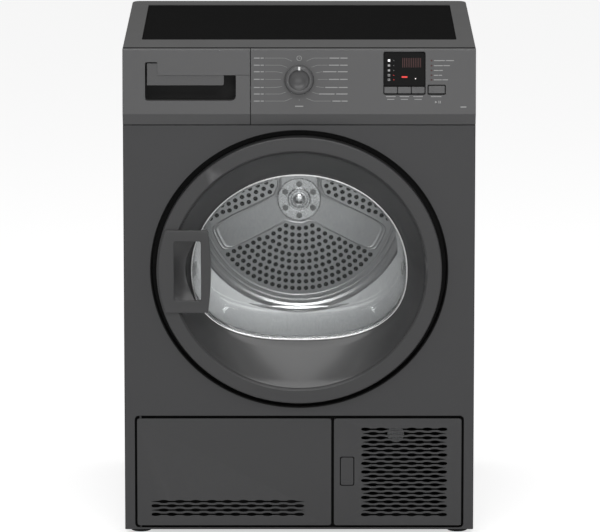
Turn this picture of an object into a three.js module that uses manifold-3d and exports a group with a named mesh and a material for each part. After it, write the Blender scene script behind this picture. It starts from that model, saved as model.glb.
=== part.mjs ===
// Free-standing condenser clothes dryer, as an assembly of its separate pieces.
// Millimetres, +Z up, front faces -Y.
// Y is measured from the front panel's face, positive into the machine, until the group is centred at the end.
import * as THREE from "three";
import { mergeVertices } from "three/addons/utils/BufferGeometryUtils.js";
import { LoftGeometry } from "three/addons/geometries/LoftGeometry.js";
import Module from "manifold-3d";

const wasm = await Module();
wasm.setup();

// ---- Driving dimensions ----
const WIDTH = 596;
const HEIGHT = 845;
const BODY_DEPTH = 584; // front panel face to the back of the rear panel
const PANEL_BOTTOM = 13; // lowest edge of the cabinet above the floor
const SHEET = 1.2; // steel panels
const FLANGE = 14; // folded edges of the side panels
const GAP = 0.3; // between pieces that touch
const SHAFT_GAP = 0.3; // radial running clearance
const ROUND = 36; // sides of a large round piece
const MEDIUM_ROUND = 24; // sides of a round piece the size of a hand
const SMALL_ROUND = 16; // sides of a small round piece

// Console and worktop
const CONSOLE_BOTTOM = HEIGHT - 130.2;
const LIP_Z = HEIGHT - 110.7; // where the console face meets its lower chamfer
const LIP_OUT = 10.5; // how far the lip stands in front of the panel
const LEAN = THREE.MathUtils.degToRad(5.4); // console face leans back
const NOSE_R = 6; // rounded top edge of the console
const NOSE_STEPS = 6;
const CONSOLE_BACK = 13.5;
const CONSOLE_WALL = 2.5;
const DRAWER_SPLIT_X = -82.2; // middle of the seam between water drawer and fascia
const SEAM = 1; // width of that seam
const WORKTOP_THICK = 20;
const WORKTOP_FRONT_GAP = 0.5;
const WORKTOP_BORDER = 30;
const WORKTOP_FRONT_BORDER = 89;
const WORKTOP_BACK_BORDER = 52;
const WORKTOP_CORNER_R = 18;
const INSET_DEPTH = 4;
const INSET_DROP = 1.2; // inset plate lies this far below the frame

// Programme knob, on the console face
const KNOB_Z = HEIGHT - 53;
const KNOB_R = 25;
const KNOB_STAND = 18; // front of the skirt above the console face
const DISH_R = 17.5;
const DISH_DEPTH = 5;
const KNOB_STEM_R = 3;
const MARK_WIDTH = 3.5;
const MARK_LENGTH = 7.7;
const MARK_RAISE = 0.5;

// Display and buttons, on the console face
const DISPLAY_LEFT = 142.9;
const DISPLAY_RIGHT = 212;
const DISPLAY_BOTTOM = HEIGHT - 63.2;
const DISPLAY_TOP = HEIGHT - 6.1;
const OPTION_COUNT = 3;
const OPTION_BOTTOM = HEIGHT - 76.4;
const START_LEFT = 217.6;
const START_RIGHT = 246;
const START_TOP = HEIGHT - 62.7;
const BUTTON_RAISE = 1.6;
const BUTTON_DEEP = 12;
const BUTTON_GAP = 0.4;

// Water drawer
const POCKET_LEFT = -259.9;
const POCKET_RIGHT = -106.7;
const POCKET_BOTTOM = HEIGHT - 88;
const POCKET_TOP = HEIGHT - 23.2;
const POCKET_DEEP = 22;
const GRIP_RIGHT = -126.8;
const GRIP_BOTTOM = HEIGHT - 62.4;
const GRIP_SET_BACK = 5; // grip bar lies behind the console face
const GRIP_THICK = 3;
const TANK_LEFT = -286;
const TANK_RIGHT = -162;
const TANK_BOTTOM = HEIGHT - 92;
const TANK_TOP = HEIGHT - 37;
const TANK_FRONT = 32;
const TANK_LENGTH = 488;
const TANK_WALL = 2;
const GUIDE_WALL = 2;
const GUIDE_GAP = 1;
const GUIDE_FRONT = 40;
const GUIDE_END_GAP = 6;

// Door and its recess: ovals with one height to width ratio
const OVAL = 0.948;
const DOOR_Z = 465.6;
const RECESS_RX = 250.5;
const RECESS_DEEP = 22;
const RING_RX = 242;
const RING_INNER_RX = 215;
const RING_OUT = 15; // front of the ring, ahead of the panel
const RING_INNER_OUT = 12; // inner edge of the ring
const RING_CHAMFER = 6;
const RING_WALL = 3;
const RING_SKIRT_BACK = 13;

// Window: half ellipse above, fuller curve below
const WINDOW_Y = 35;
const WINDOW_Z = 460;
const WINDOW_RX = 186;
const WINDOW_UP = 165;
const WINDOW_DOWN = 124.3;
const WINDOW_POWER = 2.55;
const FUNNEL_WALL = 2.5;
const GLASS_WALL = 4;
const GLASS_BACK = 82;
const GLASS_TAPER = 12;
const GLASS_FLANGE = 5;
const SEAL_GROW = 6;
const SEAL_WIDTH = 10;
const SEAL_Y = 17;
const BACK_RING_THICK = 3;

// Door handle plate
const HANDLE_LEFT = -238;
const HANDLE_RIGHT = -154.5;
const HANDLE_BULGE = 5;
const HANDLE_BOTTOM = 389.8;
const HANDLE_TOP = 533.2;
const HANDLE_THICK = 5;
const HOLE_LEFT = -212.3;
const HOLE_RIGHT = -172.8;
const HOLE_BOTTOM = 410.5;
const HOLE_TOP = 514.2;

// Door hinge, behind the ring on the right
const HINGE_X = 231;
const HINGE_Y = -6;
const HINGE_PIN_R = 2.5;
const HINGE_EYE_R = 5.2;
const HINGE_HALF = 28; // knuckle half length
const HINGE_ARM = 8; // height of one bracket arm
const HINGE_NOTCH = 46; // half height of the clearance in the door's skirt
const HINGE_NOTCH_X = 210;
const LEAF_THICK = 2.5;
const LEAF_LENGTH = 15;
const ARM_REACH = 17; // from the pin to the arm's inner edge
const BRACKET_WIDE = 20;

// Door catch and latch on the left
const CATCH_X = -221;
const CATCH_WIDTH = 6;
const CATCH_HEIGHT = 14;
const CATCH_BACK = 44;
const LATCH_WALL = 3;
const LATCH_BACK = 56;
const SLOT_CLEAR = 4;

// Kick area
const KICK_LEFT = -277.6;
const KICK_RIGHT = 278;
const KICK_BOTTOM = 19.1;
const KICK_TOP = 208.9;
const KICK_GAP = 3;
const KICK_DEEP = 16;
const KICK_CORNER_R = 8;
const FLAP_RIGHT = 55.6;
const GRILLE_LEFT = 58.6;
const COVER_THICK = 2.5;
const COVER_RIM = 2;
const FLAP_RIM_BACK = 10;
const FLAP_PIN_X = -271;
const FLAP_PIN_Y = 5;
const FLAP_PIN_R = 2;
const TONGUE_WIDE = 12;
const TONGUE_TALL = 20;
const FLAP_SLOT_LEFT = -252.8;
const FLAP_SLOT_RIGHT = 9.1;
const FLAP_SLOT_BOTTOM = 35.4;
const FLAP_SLOT_TOP = 65.3;
const FLAP_SLOT_ROWS = 4;
const VENT_LEFT = 105.8;
const VENT_RIGHT = 253.1;
const VENT_BOTTOM = 34.9;
const VENT_TOP = 191.9;
const VENT_ROWS = 21;
const SLOT_SHARE = 0.6; // open part of a row's pitch
const SLOT_END = 1.5; // solid left at each end of a slot
const RELEASE_LEFT = 70.1;
const RELEASE_RIGHT = 93.7;
const RELEASE_BOTTOM = 90;
const RELEASE_TOP = 139.8;
const RELEASE_RAISE = 1;
const RELEASE_DEEP = 10;
const RELEASE_CORNER_R = 3;

// Drum
const DRUM_Z = 500;
const DRUM_R = 285;
const DRUM_WALL = 1.2;
const DRUM_FRONT = 78;
const DRUM_BACK = 500;
const DRUM_MOUTH_R = DRUM_R - 29;
const COLLAR_R = DRUM_MOUTH_R - 6;
const DRAIN_HOLE_R = 4; // drip holes through the collar's back wall
const DRAIN_HOLE_IN = 8;
const FELT_THICK = 4;
const HUB_R = 38.7;
const HUB_THICK = 5;
const HUB_BOSS_R = 20;
const HUB_BOSS_OUT = 6;
const HUB_BOLTS = 6;
const HUB_BOLT_CIRCLE = 28.5;
const HUB_BOLT_R = 5;
const HUB_BOLT_HEAD = 3;
const SHAFT_R = 9.5;
const SHAFT_END = 519;
const LIFTER_COUNT = 3;
const LIFTER_TALL = 48;
const LIFTER_BASE = 60;
const LIFTER_TIP = 24;
const LIFTER_FRONT = 95;
const LIFTER_BACK = 488;
const LIFTER_STEPS = 4; // facets of the face against the drum
const LIFTER_SEAT = 0.8;
const ROLLER_R = 35;
const ROLLER_X = 183.7;
const ROLLER_FRONT = 84;
const ROLLER_WIDE = 20;
const ROLLER_PIN_R = 5;
const ROLLER_BOSS_R = 12;
const BELT_THICK = 3;
const BELT_GAP = 0.9; // slack that the facets of the drum need
const BELT_FRONT = 300;
const BELT_WIDE = 12;

// Bulkheads and back
const BULKHEAD_Y = 26;
const BULKHEAD_SHEET = 3;
const BULKHEAD_BOTTOM = 197;
const BULKHEAD_TOP = HEIGHT - 110;
const TUNNEL_BACK = 80;
const COLLAR_BACK = 94;
const TUNNEL_GROW = 6.5;
const TUNNEL_WALL = 2.5;
const REAR_BULKHEAD_Y = 511;
const REAR_BULKHEAD_SHEET = 1.5;
const VENT_HOLES = 6; // warm air holes behind the drum
const VENT_HOLE_R = 40;
const VENT_HOLE_CIRCLE = 150;
const BEARING_R = 16;
const DUCT_R = 235;
const DUCT_BACK = 568;
const DUCT_WALL = 1.2;
const DUCT_RIM = 10;
const DUCT_TAPER = 14;
const DUCT_EYE_R = 30;
const FILTER_WIDTH = 180;
const FILTER_THICK = 18;
const FILTER_Y = 54;
const FILTER_BOTTOM = 204;
const FILTER_TOP = 311.6;
const FILTER_WELL_TOP = 335.6;
const FILTER_RIM = 8;
const FILTER_CLEAR = 0.6;

// Motor, fan, condenser, pump
const MOTOR_X = 170;
const MOTOR_Z = 115;
const STATOR_R = 55;
const STATOR_FRONT = 330;
const STATOR_BACK = 448;
const STATOR_CAP = 6;
const ROTOR_R = 28;
const MOTOR_SHAFT_R = 6;
const PULLEY_R = 10;
const PULLEY_LIP = 5;
const PULLEY_CHEEK = 4;
const ROTOR_END_GAP = 6;
const STATOR_FEET = [345, 415]; // front faces of the motor's feet
const STATOR_FOOT_LONG = 16;
const STATOR_FOOT_HALF = 40;
const STATOR_FOOT_TOP = MOTOR_Z - 42;
const FAN_R = 70;
const FAN_BLADES = 8;
const FAN_HUB_R = 14;
const FAN_MOUTH_R = 46;
const FAN_EYE_R = 30;
const FAN_BORE_GAP = 0.3;
const FAN_FRONT = 468;
const FAN_BACK = 500;
const FAN_HOUSE_GAP = 8;
const FAN_HOUSE_WALL = 2.5;
const CORE_LEFT = -250;
const CORE_RIGHT = -60;
const CORE_FRONT = 46;
const CORE_BACK = 360;
const CORE_BOTTOM = 19.3;
const CORE_TOP = 175;
const CORE_END = 8;
const FIN_SPACES = 14;
const FIN_THICK = 2;
const COVER_GROW = 8;
const COVER_PLATE = 8;
const LEVER_Z = 107;
const LEVER_LENGTH = 46;
const LEVER_WIDTH = 12;
const LEVER_THICK = 6;
const LEVER_PIN_R = 4;
const LEVER_INSET = 13;
const PUMP_X = -120;
const PUMP_Y = 430;
const PUMP_R = 32;
const PUMP_TALL = 60;
const PUMP_SPOUT = 22;

// Base and feet
const TRAY_BOTTOM = 14;
const TRAY_FLOOR = 5;
const TRAY_WALL = 5;
const TRAY_TALL = 34;
const TRAY_FRONT = 17;
const TRAY_FRONT_TALL = 12;
const FOOT_X = 272;
const FOOT_FRONT_Y = 55;
const FOOT_BACK_Y = 530;
const FOOT_PAD_R = 18;
const FOOT_PAD_TALL = 8;
const FOOT_STEM_R = 5;
const FOOT_BOSS_R = 12;
const FOOT_BOSS_TOP = 40;
const FOOT_STEM_TOP = 37;
const GLAND_X = 240;
const GLAND_Z = 70;
const GLAND_R = 9;

// ---- Colours ----
const GREY = 0x4a4b4d;
const DARK = 0x2c2d2e;
const BLACK = 0x151515;
const STEEL = 0xb8babc;
const PALE = 0xd8d8d6;

// ---- Shape helpers ----
function solid(geometry) {
  geometry.deleteAttribute("normal");
  geometry.deleteAttribute("uv");
  const merged = mergeVertices(geometry, 1e-4);
  const mesh = new wasm.Mesh({
    numProp: 3,
    vertProperties: merged.attributes.position.array,
    triVerts: new Uint32Array(merged.index.array),
  });
  return new wasm.Manifold(mesh);
}

function join(...pieces) {
  return pieces.reduce((whole, piece) => whole.add(piece));
}

function box(x0, x1, y0, y1, z0, z1) {
  const geometry = new THREE.BoxGeometry(x1 - x0, y1 - y0, z1 - z0);
  geometry.translate((x0 + x1) / 2, (y0 + y1) / 2, (z0 + z1) / 2);
  return solid(geometry);
}

// An outline in X and Z, given thickness from y0 to y1.
function plate(shape, y0, y1, divisions = 6) {
  const geometry = new THREE.ExtrudeGeometry(shape, {
    depth: y1 - y0,
    bevelEnabled: false,
    curveSegments: divisions,
  });
  geometry.rotateX(Math.PI / 2);
  geometry.translate(0, y1, 0);
  return solid(geometry);
}

// An outline in X and Y, given height from z0 to z1.
function slab(shape, z0, z1, divisions = 6) {
  const geometry = new THREE.ExtrudeGeometry(shape, {
    depth: z1 - z0,
    bevelEnabled: false,
    curveSegments: divisions,
  });
  geometry.translate(0, 0, z0);
  return solid(geometry);
}

// An outline in Y and Z, given length from x0 to x1.
function rail(points, x0, x1) {
  const shape = new THREE.Shape(points);
  const geometry = new THREE.ExtrudeGeometry(shape, { depth: x1 - x0, bevelEnabled: false });
  const turn = new THREE.Matrix4().makeBasis(
    new THREE.Vector3(0, 1, 0),
    new THREE.Vector3(0, 0, 1),
    new THREE.Vector3(1, 0, 0),
  );
  geometry.applyMatrix4(turn);
  geometry.translate(x0, 0, 0);
  return solid(geometry);
}

// A closed profile of [radius, y] pairs turned about a Y axis through x, z, and squeezed in height by ratio.
function turned(profile, x, z, sides = ROUND, ratio = 1) {
  const points = profile.map(([r, y]) => new THREE.Vector2(r, y));
  if (!THREE.ShapeUtils.isClockWise(points)) points.reverse();
  points.reverse();
  points.push(points[0].clone());
  const geometry = new THREE.LatheGeometry(points, sides);
  geometry.scale(1, 1, ratio);
  geometry.translate(x, 0, z);
  return solid(geometry);
}

// A profile of [radius, y] pairs that starts and ends on its axis, front to back.
function spindle(profile, x, z) {
  const points = profile.map(([r, y]) => new THREE.Vector2(r, y));
  const geometry = new THREE.LatheGeometry(points, MEDIUM_ROUND);
  geometry.translate(x, 0, z);
  return solid(geometry);
}

function ring(inner, outer, y0, y1, x, z, sides = ROUND, ratio = 1) {
  return turned([[inner, y0], [outer, y0], [outer, y1], [inner, y1]], x, z, sides, ratio);
}

function disc(radius, y0, y1, x, z, sides = ROUND, ratio = 1) {
  const geometry = new THREE.CylinderGeometry(radius, radius, y1 - y0, sides);
  geometry.scale(1, 1, ratio);
  geometry.translate(x, (y0 + y1) / 2, z);
  return solid(geometry);
}

function post(radius, x, y, z0, z1, sides = SMALL_ROUND) {
  const geometry = new THREE.CylinderGeometry(radius, radius, z1 - z0, sides);
  geometry.rotateX(Math.PI / 2);
  geometry.translate(x, y, (z0 + z1) / 2);
  return solid(geometry);
}

function roundedShape(x0, x1, z0, z1, radius) {
  const shape = new THREE.Shape();
  shape.moveTo(x0 + radius, z0);
  shape.lineTo(x1 - radius, z0);
  shape.absarc(x1 - radius, z0 + radius, radius, -Math.PI / 2, 0);
  shape.lineTo(x1, z1 - radius);
  shape.absarc(x1 - radius, z1 - radius, radius, 0, Math.PI / 2);
  shape.lineTo(x0 + radius, z1);
  shape.absarc(x0 + radius, z1 - radius, radius, Math.PI / 2, Math.PI);
  shape.lineTo(x0, z0 + radius);
  shape.absarc(x0 + radius, z0 + radius, radius, Math.PI, Math.PI * 1.5);
  return shape;
}

// One point of the door's section in X and Z: the ring's oval at mix 0, the window's outline at mix 1.
function doorPoint(angle, mix, grow) {
  const c = Math.cos(angle);
  const s = Math.sin(angle);
  const power = s < 0 ? 2 / WINDOW_POWER : 1;
  const tall = s < 0 ? WINDOW_DOWN : WINDOW_UP;
  const windowX = WINDOW_RX * Math.sign(c) * Math.abs(c) ** power;
  const windowZ = WINDOW_Z + tall * Math.sign(s) * Math.abs(s) ** power;
  const x = THREE.MathUtils.lerp(RING_INNER_RX * c, windowX, mix);
  const z = THREE.MathUtils.lerp(DOOR_Z + RING_INNER_RX * OVAL * s, windowZ, mix);
  const middle = THREE.MathUtils.lerp(DOOR_Z, WINDOW_Z, mix);
  const far = Math.hypot(x, z - middle);
  return new THREE.Vector2(x + (grow * x) / far, z + (grow * (z - middle)) / far);
}

// How far the door's section at depth y has turned into the window's outline.
function mixAt(y) {
  return (y + RING_INNER_OUT) / (WINDOW_Y + RING_INNER_OUT);
}

function doorSection(mix, grow) {
  return Array.from({ length: ROUND }, (_, i) => doorPoint((i / ROUND) * 2 * Math.PI, mix, grow));
}

function doorPlate(mix, grow, y0, y1) {
  return plate(new THREE.Shape(doorSection(mix, grow)), y0, y1);
}

// A solid skinned through door sections, each given as [y, mix, grow], front to back.
function doorLoft(steps) {
  const sections = steps.map(([y, mix, grow]) =>
    doorSection(mix, grow)
      .map((p) => new THREE.Vector3(p.x, y, p.y))
      .reverse(),
  );
  const skin = new LoftGeometry(sections, { capStart: true, capEnd: true });
  return solid(new THREE.BufferGeometry().copy(skin));
}

function move(piece, x, y, z) {
  return piece.translate([x, y, z]);
}

const root = new THREE.Group();
root.name = "clothes_dryer";

function put(name, piece, color, roughness, metalness = 0, group = root) {
  const made = piece.getMesh();
  const geometry = new THREE.BufferGeometry();
  geometry.setAttribute("position", new THREE.BufferAttribute(made.vertProperties, 3));
  geometry.setIndex(new THREE.BufferAttribute(made.triVerts, 1));
  const mesh = new THREE.Mesh(geometry, new THREE.MeshStandardMaterial({ color, roughness, metalness }));
  mesh.name = name;
  group.add(mesh);
}

// ---- Places worked out from the sizes ----
const SIDE = WIDTH / 2;
const BACK_FACE = BODY_DEPTH;
const WORKTOP_BOTTOM = HEIGHT - WORKTOP_THICK;
const SIDE_INNER = SIDE - SHEET;
const PANEL_TOP = CONSOLE_BOTTOM - GAP;
const PANEL_WRAP = CONSOLE_BACK; // folded edge of the front panel
const SIDE_FRONT = PANEL_WRAP + GAP;
const REAR_FRONT = BACK_FACE - SHEET;
const TRAY_TOP = TRAY_BOTTOM + TRAY_TALL;
const TRAY_DECK = TRAY_BOTTOM + TRAY_FLOOR;
const NOSE_Y = -LIP_OUT + (HEIGHT - NOSE_R - LIP_Z) * Math.tan(LEAN) + NOSE_R;
const SEAL_MIX = mixAt(SEAL_Y);
const TUNNEL_MIX = mixAt(BULKHEAD_Y);
const CATCH_Z = DOOR_Z;
const PIVOT_Z = DOOR_Z;

function faceY(z) {
  return -LIP_OUT + (z - LIP_Z) * Math.tan(LEAN);
}

// ---- Cabinet ----
// Room for the door's catch to pass through a wall.
function catchSlot(y0, y1) {
  const wide = CATCH_WIDTH / 2 + SLOT_CLEAR;
  const tall = CATCH_HEIGHT / 2 + SLOT_CLEAR;
  return box(CATCH_X - wide, CATCH_X + wide, y0, y1, CATCH_Z - tall, CATCH_Z + tall);
}

// A box between two x places given in either order.
function boxAcross(xa, xb, y0, y1, z0, z1) {
  return box(Math.min(xa, xb), Math.max(xa, xb), y0, y1, z0, z1);
}

function sidePanel(sign) {
  const outer = sign * SIDE;
  const inner = sign * SIDE_INNER;
  const flange = sign * (SIDE_INNER - FLANGE);
  const back = REAR_FRONT - GAP;
  const flangeBottom = TRAY_TOP + 4;
  const flangeTop = TANK_BOTTOM - 20;
  const sheet = boxAcross(inner, outer, SIDE_FRONT, back, PANEL_BOTTOM, WORKTOP_BOTTOM - GAP);
  const frontFlange = boxAcross(flange, inner, SIDE_FRONT, SIDE_FRONT + SHEET, flangeBottom, flangeTop);
  const rearFlange = boxAcross(flange, inner, back - SHEET, back, flangeBottom, flangeTop);
  return join(sheet, frontFlange, rearFlange);
}

function frontPanel() {
  const outline = new THREE.Shape();
  outline.moveTo(-SIDE, PANEL_BOTTOM);
  outline.lineTo(SIDE, PANEL_BOTTOM);
  outline.lineTo(SIDE, PANEL_TOP);
  outline.lineTo(-SIDE, PANEL_TOP);
  const kl = KICK_LEFT - KICK_GAP;
  const kr = KICK_RIGHT + KICK_GAP;
  const kb = KICK_BOTTOM - KICK_GAP;
  const kt = KICK_TOP + KICK_GAP;
  let panel = plate(outline, 0, SHEET);
  panel = panel.subtract(disc(RECESS_RX, -1, SHEET + 1, 0, DOOR_Z, ROUND, OVAL));
  panel = panel.subtract(plate(roundedShape(kl, kr, kb, kt, KICK_CORNER_R), -1, SHEET + 1));
  const wraps = [-1, 1].map((sign) =>
    boxAcross(sign * SIDE_INNER, sign * SIDE, 0, PANEL_WRAP, PANEL_BOTTOM, PANEL_TOP),
  );
  const dishWall = ring(RECESS_RX, RECESS_RX + SHEET, 0, RECESS_DEEP, 0, DOOR_Z, ROUND, OVAL);
  let dishFloor = disc(RECESS_RX + SHEET / 2, RECESS_DEEP - SHEET, RECESS_DEEP, 0, DOOR_Z, ROUND, OVAL);
  dishFloor = dishFloor.subtract(doorPlate(SEAL_MIX, SEAL_GROW + SEAL_WIDTH + 3, 0, 2 * RECESS_DEEP));
  dishFloor = dishFloor.subtract(catchSlot(0, 2 * RECESS_DEEP));
  const kickOuter = roundedShape(kl - SHEET, kr + SHEET, kb - SHEET, kt + SHEET, KICK_CORNER_R + SHEET);
  let pocket = plate(kickOuter, 0, KICK_DEEP);
  pocket = pocket.subtract(plate(roundedShape(kl, kr, kb, kt, KICK_CORNER_R), -1, KICK_DEEP - SHEET));
  const bayLeft = CORE_LEFT - COVER_GROW - 6;
  const bayRight = CORE_RIGHT + COVER_GROW + 6;
  pocket = pocket.subtract(box(bayLeft, bayRight, 0, 2 * KICK_DEEP, KICK_BOTTOM + 5, KICK_TOP - 10));
  pocket = pocket.subtract(box(VENT_LEFT, VENT_RIGHT, 0, 2 * KICK_DEEP, VENT_BOTTOM, VENT_TOP));
  for (const z of [KICK_BOTTOM - KICK_GAP, KICK_TOP + KICK_GAP]) {
    const hole = post(FLAP_PIN_R + SHAFT_GAP, FLAP_PIN_X, FLAP_PIN_Y, z - 2 * SHEET, z + 2 * SHEET, 12);
    pocket = pocket.subtract(hole);
  }
  return join(panel, ...wraps, dishWall, dishFloor, pocket);
}

function rearPanel() {
  const sheet = box(-SIDE, SIDE, REAR_FRONT, BACK_FACE, PANEL_BOTTOM, WORKTOP_BOTTOM - GAP);
  const hole = disc(GLAND_R, REAR_FRONT - 1, BACK_FACE + 1, GLAND_X, GLAND_Z, SMALL_ROUND);
  return sheet.subtract(hole);
}

function baseTray() {
  const side = SIDE_INNER - GAP;
  const back = REAR_FRONT - GAP - SHEET - 2;
  let tray = box(-side, side, TRAY_FRONT, back, TRAY_BOTTOM, TRAY_TOP);
  const inner = side - TRAY_WALL;
  const lowFront = TRAY_BOTTOM + TRAY_FRONT_TALL;
  tray = tray.subtract(box(-inner, inner, TRAY_FRONT + TRAY_WALL, back - TRAY_WALL, TRAY_DECK, TRAY_TOP + 1));
  tray = tray.subtract(box(-inner, inner, 0, TRAY_FRONT + 2 * TRAY_WALL, lowFront, TRAY_TOP + 1));
  for (const x of [-FOOT_X, FOOT_X]) {
    for (const y of [FOOT_FRONT_Y, FOOT_BACK_Y]) {
      tray = tray.add(post(FOOT_BOSS_R, x, y, TRAY_BOTTOM, FOOT_BOSS_TOP));
      tray = tray.subtract(post(FOOT_STEM_R + SHAFT_GAP, x, y, TRAY_BOTTOM - 1, FOOT_BOSS_TOP + 1));
    }
  }
  return tray;
}

function foot(x, y) {
  const pad = post(FOOT_PAD_R, x, y, 0, FOOT_PAD_TALL, MEDIUM_ROUND);
  return pad.add(post(FOOT_STEM_R, x, y, FOOT_PAD_TALL - 1, FOOT_STEM_TOP));
}

function worktopOutline() {
  const front = CONSOLE_BACK + WORKTOP_FRONT_GAP;
  const r = WORKTOP_CORNER_R;
  const shape = new THREE.Shape();
  shape.moveTo(-SIDE, front);
  shape.lineTo(SIDE, front);
  shape.lineTo(SIDE, BACK_FACE - r);
  shape.absarc(SIDE - r, BACK_FACE - r, r, 0, Math.PI / 2);
  shape.lineTo(-SIDE + r, BACK_FACE);
  shape.absarc(-SIDE + r, BACK_FACE - r, r, Math.PI / 2, Math.PI);
  return shape;
}

const INSET_LEFT = -SIDE + WORKTOP_BORDER;
const INSET_FRONT = CONSOLE_BACK + WORKTOP_FRONT_BORDER;
const INSET_REAR = BACK_FACE - WORKTOP_BACK_BORDER;

function worktopFrame() {
  const frame = slab(worktopOutline(), WORKTOP_BOTTOM, HEIGHT);
  const well = box(
    INSET_LEFT,
    -INSET_LEFT,
    INSET_FRONT,
    INSET_REAR,
    HEIGHT - INSET_DROP - INSET_DEPTH - GAP,
    HEIGHT + 1,
  );
  return frame.subtract(well);
}

function worktopInset() {
  const top = HEIGHT - INSET_DROP;
  return box(
    INSET_LEFT + GAP,
    -INSET_LEFT - GAP,
    INSET_FRONT + GAP,
    INSET_REAR - GAP,
    top - INSET_DEPTH,
    top,
  );
}

// ---- Console ----
function consoleProfile(inset) {
  const points = [];
  points.push(new THREE.Vector2(CONSOLE_BACK, CONSOLE_BOTTOM + inset));
  points.push(new THREE.Vector2(inset, CONSOLE_BOTTOM + inset));
  points.push(new THREE.Vector2(faceY(LIP_Z) + inset, LIP_Z + inset / 2));
  for (let i = 0; i <= NOSE_STEPS; i += 1) {
    const a = THREE.MathUtils.lerp(Math.PI - LEAN, Math.PI / 2, i / NOSE_STEPS);
    const r = NOSE_R - inset;
    points.push(new THREE.Vector2(NOSE_Y + r * Math.cos(a), HEIGHT - NOSE_R + r * Math.sin(a)));
  }
  points.push(new THREE.Vector2(CONSOLE_BACK, HEIGHT - inset));
  return points.reverse();
}

function consoleShell(x0, x1) {
  const outer = rail(consoleProfile(0), x0, x1);
  const core = consoleProfile(CONSOLE_WALL);
  for (const point of core) {
    if (point.x === CONSOLE_BACK) point.x += 1;
  }
  return outer.subtract(rail(core, x0 + CONSOLE_WALL, x1 - CONSOLE_WALL));
}

const FASCIA_LEFT = DRAWER_SPLIT_X + SEAM / 2;
const BOARD_FRONT = 22;
const BOARD_THICK = 2;
const BOARD_LEFT = -40;
const BOARD_BOTTOM = HEIGHT - 103;
const BOARD_TOP = HEIGHT - 27;
const BOARD_STANDS = [BOARD_LEFT + 20, (DISPLAY_RIGHT + SIDE) / 2 + 10];
const STAND_SIZE = 8;
const OPTION_TOP = DISPLAY_BOTTOM - 1.2;

function optionSpan(i) {
  const pitch = (DISPLAY_RIGHT - DISPLAY_LEFT) / OPTION_COUNT;
  return [DISPLAY_LEFT + i * pitch + BUTTON_GAP, DISPLAY_LEFT + (i + 1) * pitch - BUTTON_GAP];
}

function fascia() {
  let shell = consoleShell(FASCIA_LEFT, SIDE);
  const y0 = -LIP_OUT - 5;
  const y1 = CONSOLE_BACK - 3;
  shell = shell.subtract(box(DISPLAY_LEFT, DISPLAY_RIGHT, y0, y1, DISPLAY_BOTTOM, DISPLAY_TOP));
  for (let i = 0; i < OPTION_COUNT; i += 1) {
    const [x0, x1] = optionSpan(i);
    shell = shell.subtract(box(x0 - GAP, x1 + GAP, y0, y1, OPTION_BOTTOM, OPTION_TOP));
  }
  shell = shell.subtract(box(START_LEFT, START_RIGHT, y0, y1, OPTION_BOTTOM, START_TOP));
  shell = shell.subtract(disc(KNOB_STEM_R + 1, y0, CONSOLE_BACK, 0, KNOB_Z, SMALL_ROUND));
  const standFront = faceY(BOARD_BOTTOM) + 1;
  const half = STAND_SIZE / 2;
  const top = BOARD_BOTTOM + STAND_SIZE;
  for (const x of BOARD_STANDS) {
    shell = shell.add(box(x - half, x + half, standFront, BOARD_FRONT - GAP, BOARD_BOTTOM, top));
  }
  return shell;
}

// Pieces on the leaning face are built upright with the face at y = 0 and z measured from the anchor height.
function onFace(piece, z) {
  return move(piece.rotate([-THREE.MathUtils.radToDeg(LEAN), 0, 0]), 0, faceY(z), z);
}

function displayWindow() {
  const middle = (DISPLAY_BOTTOM + DISPLAY_TOP) / 2;
  const half = (DISPLAY_TOP - DISPLAY_BOTTOM) / 2 - 2 * GAP;
  const shape = roundedShape(DISPLAY_LEFT + GAP, DISPLAY_RIGHT - GAP, -half, half, 3);
  return onFace(plate(shape, 0, CONSOLE_WALL, 2), middle);
}

function faceButton(x0, x1, z0, z1) {
  const middle = (z0 + z1) / 2;
  const half = (z1 - z0) / 2 - 2 * GAP;
  return onFace(plate(roundedShape(x0, x1, -half, half, 1), -BUTTON_RAISE, BUTTON_DEEP, 2), middle);
}

function knob() {
  const front = -KNOB_STAND;
  const back = -1;
  const skirt = spindle(
    [
      [0, front + DISH_DEPTH],
      [DISH_R * 0.6, front + DISH_DEPTH * 0.7],
      [DISH_R, front],
      [KNOB_R - 3, front + 1],
      [KNOB_R - 1, front + 4],
      [KNOB_R, back],
      [0, back],
    ],
    0,
    0,
  );
  const stemEnd = (BOARD_FRONT - faceY(KNOB_Z)) / Math.cos(LEAN) - 1.5;
  const stem = disc(KNOB_STEM_R, -2, stemEnd, 0, 0, SMALL_ROUND);
  const mark = box(
    -MARK_WIDTH / 2,
    MARK_WIDTH / 2,
    front - MARK_RAISE,
    front + DISH_DEPTH,
    DISH_R - MARK_LENGTH / 2,
    DISH_R + MARK_LENGTH / 2,
  );
  return onFace(join(skirt, stem, mark), KNOB_Z);
}

function controlBoard() {
  return box(BOARD_LEFT, SIDE - 20, BOARD_FRONT, BOARD_FRONT + BOARD_THICK, BOARD_BOTTOM, BOARD_TOP);
}

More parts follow.
